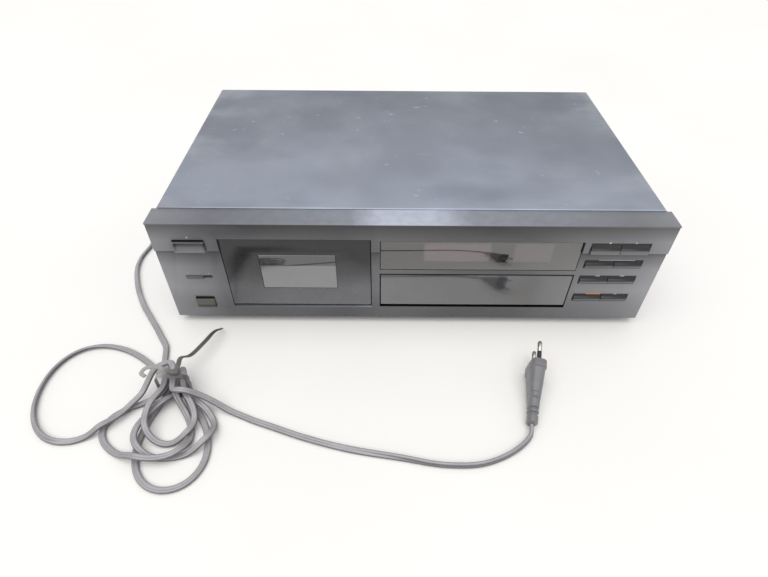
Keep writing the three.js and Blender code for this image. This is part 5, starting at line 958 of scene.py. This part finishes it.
class DECK_OT_controls(DeckOperator, bpy.types.Operator):
    """Finishes the buttons, the keys and the timer knob"""

    bl_idname = "deck.controls"
    bl_label = "Buttons and keys"

    def execute(self, context):
        colours = context.scene.deck_colours
        names = [name for name in NODES if name.endswith("_key")]
        satin = Vector(colours.panel) * 2.6
        # Painted light on the power button: a pale lower face, painted shade on its hollow upper half, a
        # painted highlight under its top edge and a painted shadow along the top edge.
        painted_button_bands = [(87.9, 1.1), (92.5, 0.8), (95.2, 0.25), (97.3, 0.16), (97.7, 0.9), (99.1, 0.9), (99.3, 0.02),
                 (99.6, 0.02)]
        lug = 1.4
        for title, pressed, stops in (
                ("key_satin", names, row_bands(names, lug)), ("button_satin", ["power_button"], painted_button_bands)):
            plain(pressed, title, satin, 0.34, (70.0, 0.05), 0.5, grain=(1800.0, 0.03), fades=[(2, stops)])
        olive = (0.115, 0.112, 0.1)
        plain(["timer_knob"], "knob_satin", olive, 0.4, (90.0, 0.05), 0.5)
        # Painted shade on the eject button: darker at its foot, with a painted shadow along its top edge.
        painted_eject_shade = [(21, 0.3), (23.8, 0.35), (24.6, 1.0), (30.2, 1.0), (30.5, 0.1), (30.8, 0.1)]
        plain(["eject_button"], "eject_satin", olive, 0.4, (90.0, 0.05), 0.5, fades=[(2, painted_eject_shade)])
        plain(["power_switch"], "switch_moulding", (0.035, 0.035, 0.036), 0.5, (90.0, 0.08), 0.5)
        plain(["timer_switch", "capstan_motor", "play_head", "pinch_arm"], "plain_steel_soft",
              (0.5, 0.5, 0.51), 0.3, (120.0, 0.08), 0.4, stretch=(5, 1, 1), metallic=1.0)
        return {"FINISHED"}


class DECK_OT_flap(DeckOperator, bpy.types.Operator):
    """Finishes the control flap, the well behind it and its knobs"""

    bl_idname = "deck.flap"
    bl_label = "Control flap"

    def execute(self, context):
        colours = context.scene.deck_colours
        # Painted light on the flap: a painted reflection that is lighter at both ends and darker right of the
        # middle, and painted shadow in the gaps along all four edges.
        flap = finish(
            "flap_gloss", colours.gloss, 0.18, cloud=(30.0, 0.08), grain=(500.0, 0.004), coat_weight=1.0,
            coat_roughness=0.08, coat_ior=1.95,
            fades=[
                (0, [(-29.5, 0.02), (-28.8, 0.02), (-28.5, 1.8), (40, 1.2), (85, 1.1), (103, 0.5), (112, 0.5),
                     (122, 1.2), (147, 1.8), (147.4, 0.02), (147.9, 0.02)]),
                (2, [(22.8, 0.02), (23.5, 0.02), (23.8, 1.0), (60.3, 1.0), (60.6, 0.02), (61.5, 0.02)])])
        dress(["control_flap"], flap, 0.6)
        plain(["control_well", "phones_socket"], "well_moulding", (0.03, 0.03, 0.032), 0.5, (60.0, 0.08), 0.5)
        plain(["record_level_knob", "balance_knob", "bias_knob", "noise_reduction_slider"], "knob_moulding",
              (0.05, 0.05, 0.052), 0.4, (90.0, 0.06), 0.4)
        return {"FINISHED"}


class DECK_OT_transport(DeckOperator, bpy.types.Operator):
    """Finishes the tape transport: roller, flywheel, pulley and belt"""

    bl_idname = "deck.transport"
    bl_label = "Tape transport"

    def execute(self, context):
        plain(["pinch_roller", "drive_belt", "strain_relief"], "soft_rubber",
              (0.018, 0.018, 0.019), 0.7, (150.0, 0.1), 0.4)
        plain(["capstan_flywheel", "motor_pulley"], "turned_brass",
              (0.55, 0.38, 0.14), 0.28, (90.0, 0.06), 0.4, stretch=(1, 8, 1), metallic=1.0)
        return {"FINISHED"}


class DECK_OT_electrics(DeckOperator, bpy.types.Operator):
    """Finishes the transformer and the rear sockets and adds the sockets' rings"""

    bl_idname = "deck.electrics"
    bl_label = "Transformer and sockets"

    def execute(self, context):
        plain(["transformer"], "transformer_core_brown", (0.16, 0.09, 0.05), 0.5, (60.0, 0.15), 0.5,
              stretch=(1, 1, 10))
        plain(["jack_block"], "socket_moulding", (0.03, 0.03, 0.03), 0.5, (70.0, 0.08), 0.5)
        low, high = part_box("jack_block")
        middle = Vector(((low[0] + high[0]) / 2, high[1], (low[2] + high[2]) / 2)) / MM
        pale = finish("ring_pale", (0.62, 0.6, 0.56), 0.4, cloud=(150.0, 0.05))
        red = finish("ring_red", (0.42, 0.02, 0.02), 0.4, cloud=(150.0, 0.05))
        half_pitch = 7.0
        profile = [(-0.1, 1.8), (-0.1, 3.3), (0.35, 3.2), (0.5, 2.9), (0.5, 2.1), (0.35, 1.8)]
        for side, name, tint in ((-1, "right", red), (1, "left", pale)):
            bm = bmesh.new()
            for row in (-1, 1):
                spot = middle + Vector((side, 0, row)) * half_pitch
                place = Matrix.Translation(spot) @ BACKWARD
                lathe(bm, profile, context.scene.deck_sizes.ring_steps, place, ring=True)
            finished("socket_rings_" + name, bm, tint, "case")
        return {"FINISHED"}


class DECK_OT_marks(DeckOperator, bpy.types.Operator):
    """Makes the plain printed marks of the front"""

    bl_idname = "deck.marks"
    bl_label = "Marks"

    def execute(self, context):
        colours = context.scene.deck_colours
        thick = context.scene.deck_sizes.mark_thick / MM
        ink = finish("mark_ink", colours.marks, 0.5, cloud=(200.0, 0.08))
        warm = finish("record_ink", colours.record, 0.5, cloud=(200.0, 0.08))
        bm = bmesh.new()
        tile(bm, dot(-186.4, LIFT + 94.8, 0.9), UPPER_FACE, thick)
        tile(bm, bar(164.6, 166.4, LIFT + 90.8, LIFT + 92.6), UPPER_FACE, thick)
        tile(bm, arrow(186.6, 188.6, LIFT + 90.7, LIFT + 92.7), UPPER_FACE, thick)
        for start, end in ((165.7, 163.8), (167.7, 165.8), (186, 187.9), (188, 189.9)):
            tile(bm, arrow(start, end, LIFT + 52.8, LIFT + 54.8), FACE, thick)
        tile(bm, bar(162.1, 193, LIFT + 71.5, LIFT + 72), FACE, thick)
        for start in (187, 188.6):
            tile(bm, bar(start, start + 0.8, LIFT + 31, LIFT + 32.8), FACE, thick)
        for x in (-196, -187, -178):
            tile(bm, bar(x - 0.25, x + 0.25, LIFT + 53, LIFT + 54.6), FACE, thick)
        finished("front_marks", bm, ink, "case")
        bm = bmesh.new()
        tile(bm, bar(161.4, 174.6, LIFT + 31.2, LIFT + 32.4), FACE, thick)
        finished("record_mark", bm, warm, "case")
        return {"FINISHED"}


class DECK_OT_fasteners(DeckOperator, bpy.types.Operator):
    """Makes the cross-head screws of the cover and the rear"""

    bl_idname = "deck.fasteners"
    bl_label = "Screws"

    def execute(self, context):
        sizes = context.scene.deck_sizes
        metal = finish("screw_metal", (0.09, 0.09, 0.095), 0.35, cloud=(200.0, 0.08), metallic=0.8)
        # The cross slots are near black: painted shade in their recesses.
        painted_slot_shade = finish("screw_recess_painted_shade", (0.012, 0.012, 0.013), 0.6, cloud=(200.0, 0.08))
        rear_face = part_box("rear_panel")[1][1] / MM
        cover_half = 214.6
        places = {"side": [], "rear": []}
        for side in (-1, 1):
            for y in (-70, 70):
                turn = Matrix.Rotation(0 if side > 0 else math.pi, 4, "Z")
                places["side"].append(Matrix.Translation((side * cover_half, y, LIFT + 30)) @ turn)
            for z in (17, 108):
                places["rear"].append(Matrix.Translation((side * 205, rear_face, z)) @ BACKWARD)
        for name, spots in places.items():
            heads = bmesh.new()
            crosses = bmesh.new()
            for spot in spots:
                screw_head(heads, crosses, spot, sizes.screw / MM, sizes.ring_steps)
            finished(name + "_screws", heads, metal, "case")
            finished(name + "_screw_slots", crosses, painted_slot_shade, "case")
        return {"FINISHED"}


OPERATORS = (
    DECK_OT_stage, DECK_OT_lead, DECK_OT_tie, DECK_OT_plug, DECK_OT_case, DECK_OT_door, DECK_OT_display,
    DECK_OT_controls, DECK_OT_flap, DECK_OT_transport, DECK_OT_electrics, DECK_OT_marks, DECK_OT_fasteners,
)


class DECK_PT_panel(bpy.types.Panel):
    """Lists the steps and the settings of the deck"""

    bl_idname = "DECK_PT_panel"
    bl_label = "Cassette deck"
    bl_space_type = "VIEW_3D"
    bl_region_type = "UI"
    bl_category = "Deck"

    def draw(self, context):
        for step in OPERATORS:
            self.layout.operator(step.bl_idname)
        for group in ("deck_stage", "deck_colours", "deck_sizes"):
            settings = getattr(context.scene, group)
            box = self.layout.box()
            for name in settings.__annotations__:
                box.prop(settings, name)


CLASSES = (DeckStage, DeckColours, DeckSizes, *OPERATORS, DECK_PT_panel)


def register():
    """Registers the settings, the steps and the panel."""
    for kind in CLASSES:
        bpy.utils.register_class(kind)
    bpy.types.Scene.deck_stage = PointerProperty(type=DeckStage)
    bpy.types.Scene.deck_colours = PointerProperty(type=DeckColours)
    bpy.types.Scene.deck_sizes = PointerProperty(type=DeckSizes)


def unregister():
    """Takes them all away again."""
    for name in ("deck_stage", "deck_colours", "deck_sizes"):
        delattr(bpy.types.Scene, name)
    for kind in reversed(CLASSES):
        bpy.utils.unregister_class(kind)


def main():
    """Runs all steps in order."""
    register()
    for step in OPERATORS:
        group, name = step.bl_idname.split(".")
        getattr(getattr(bpy.ops, group), name)()


if __name__ == "__main__":
    main()
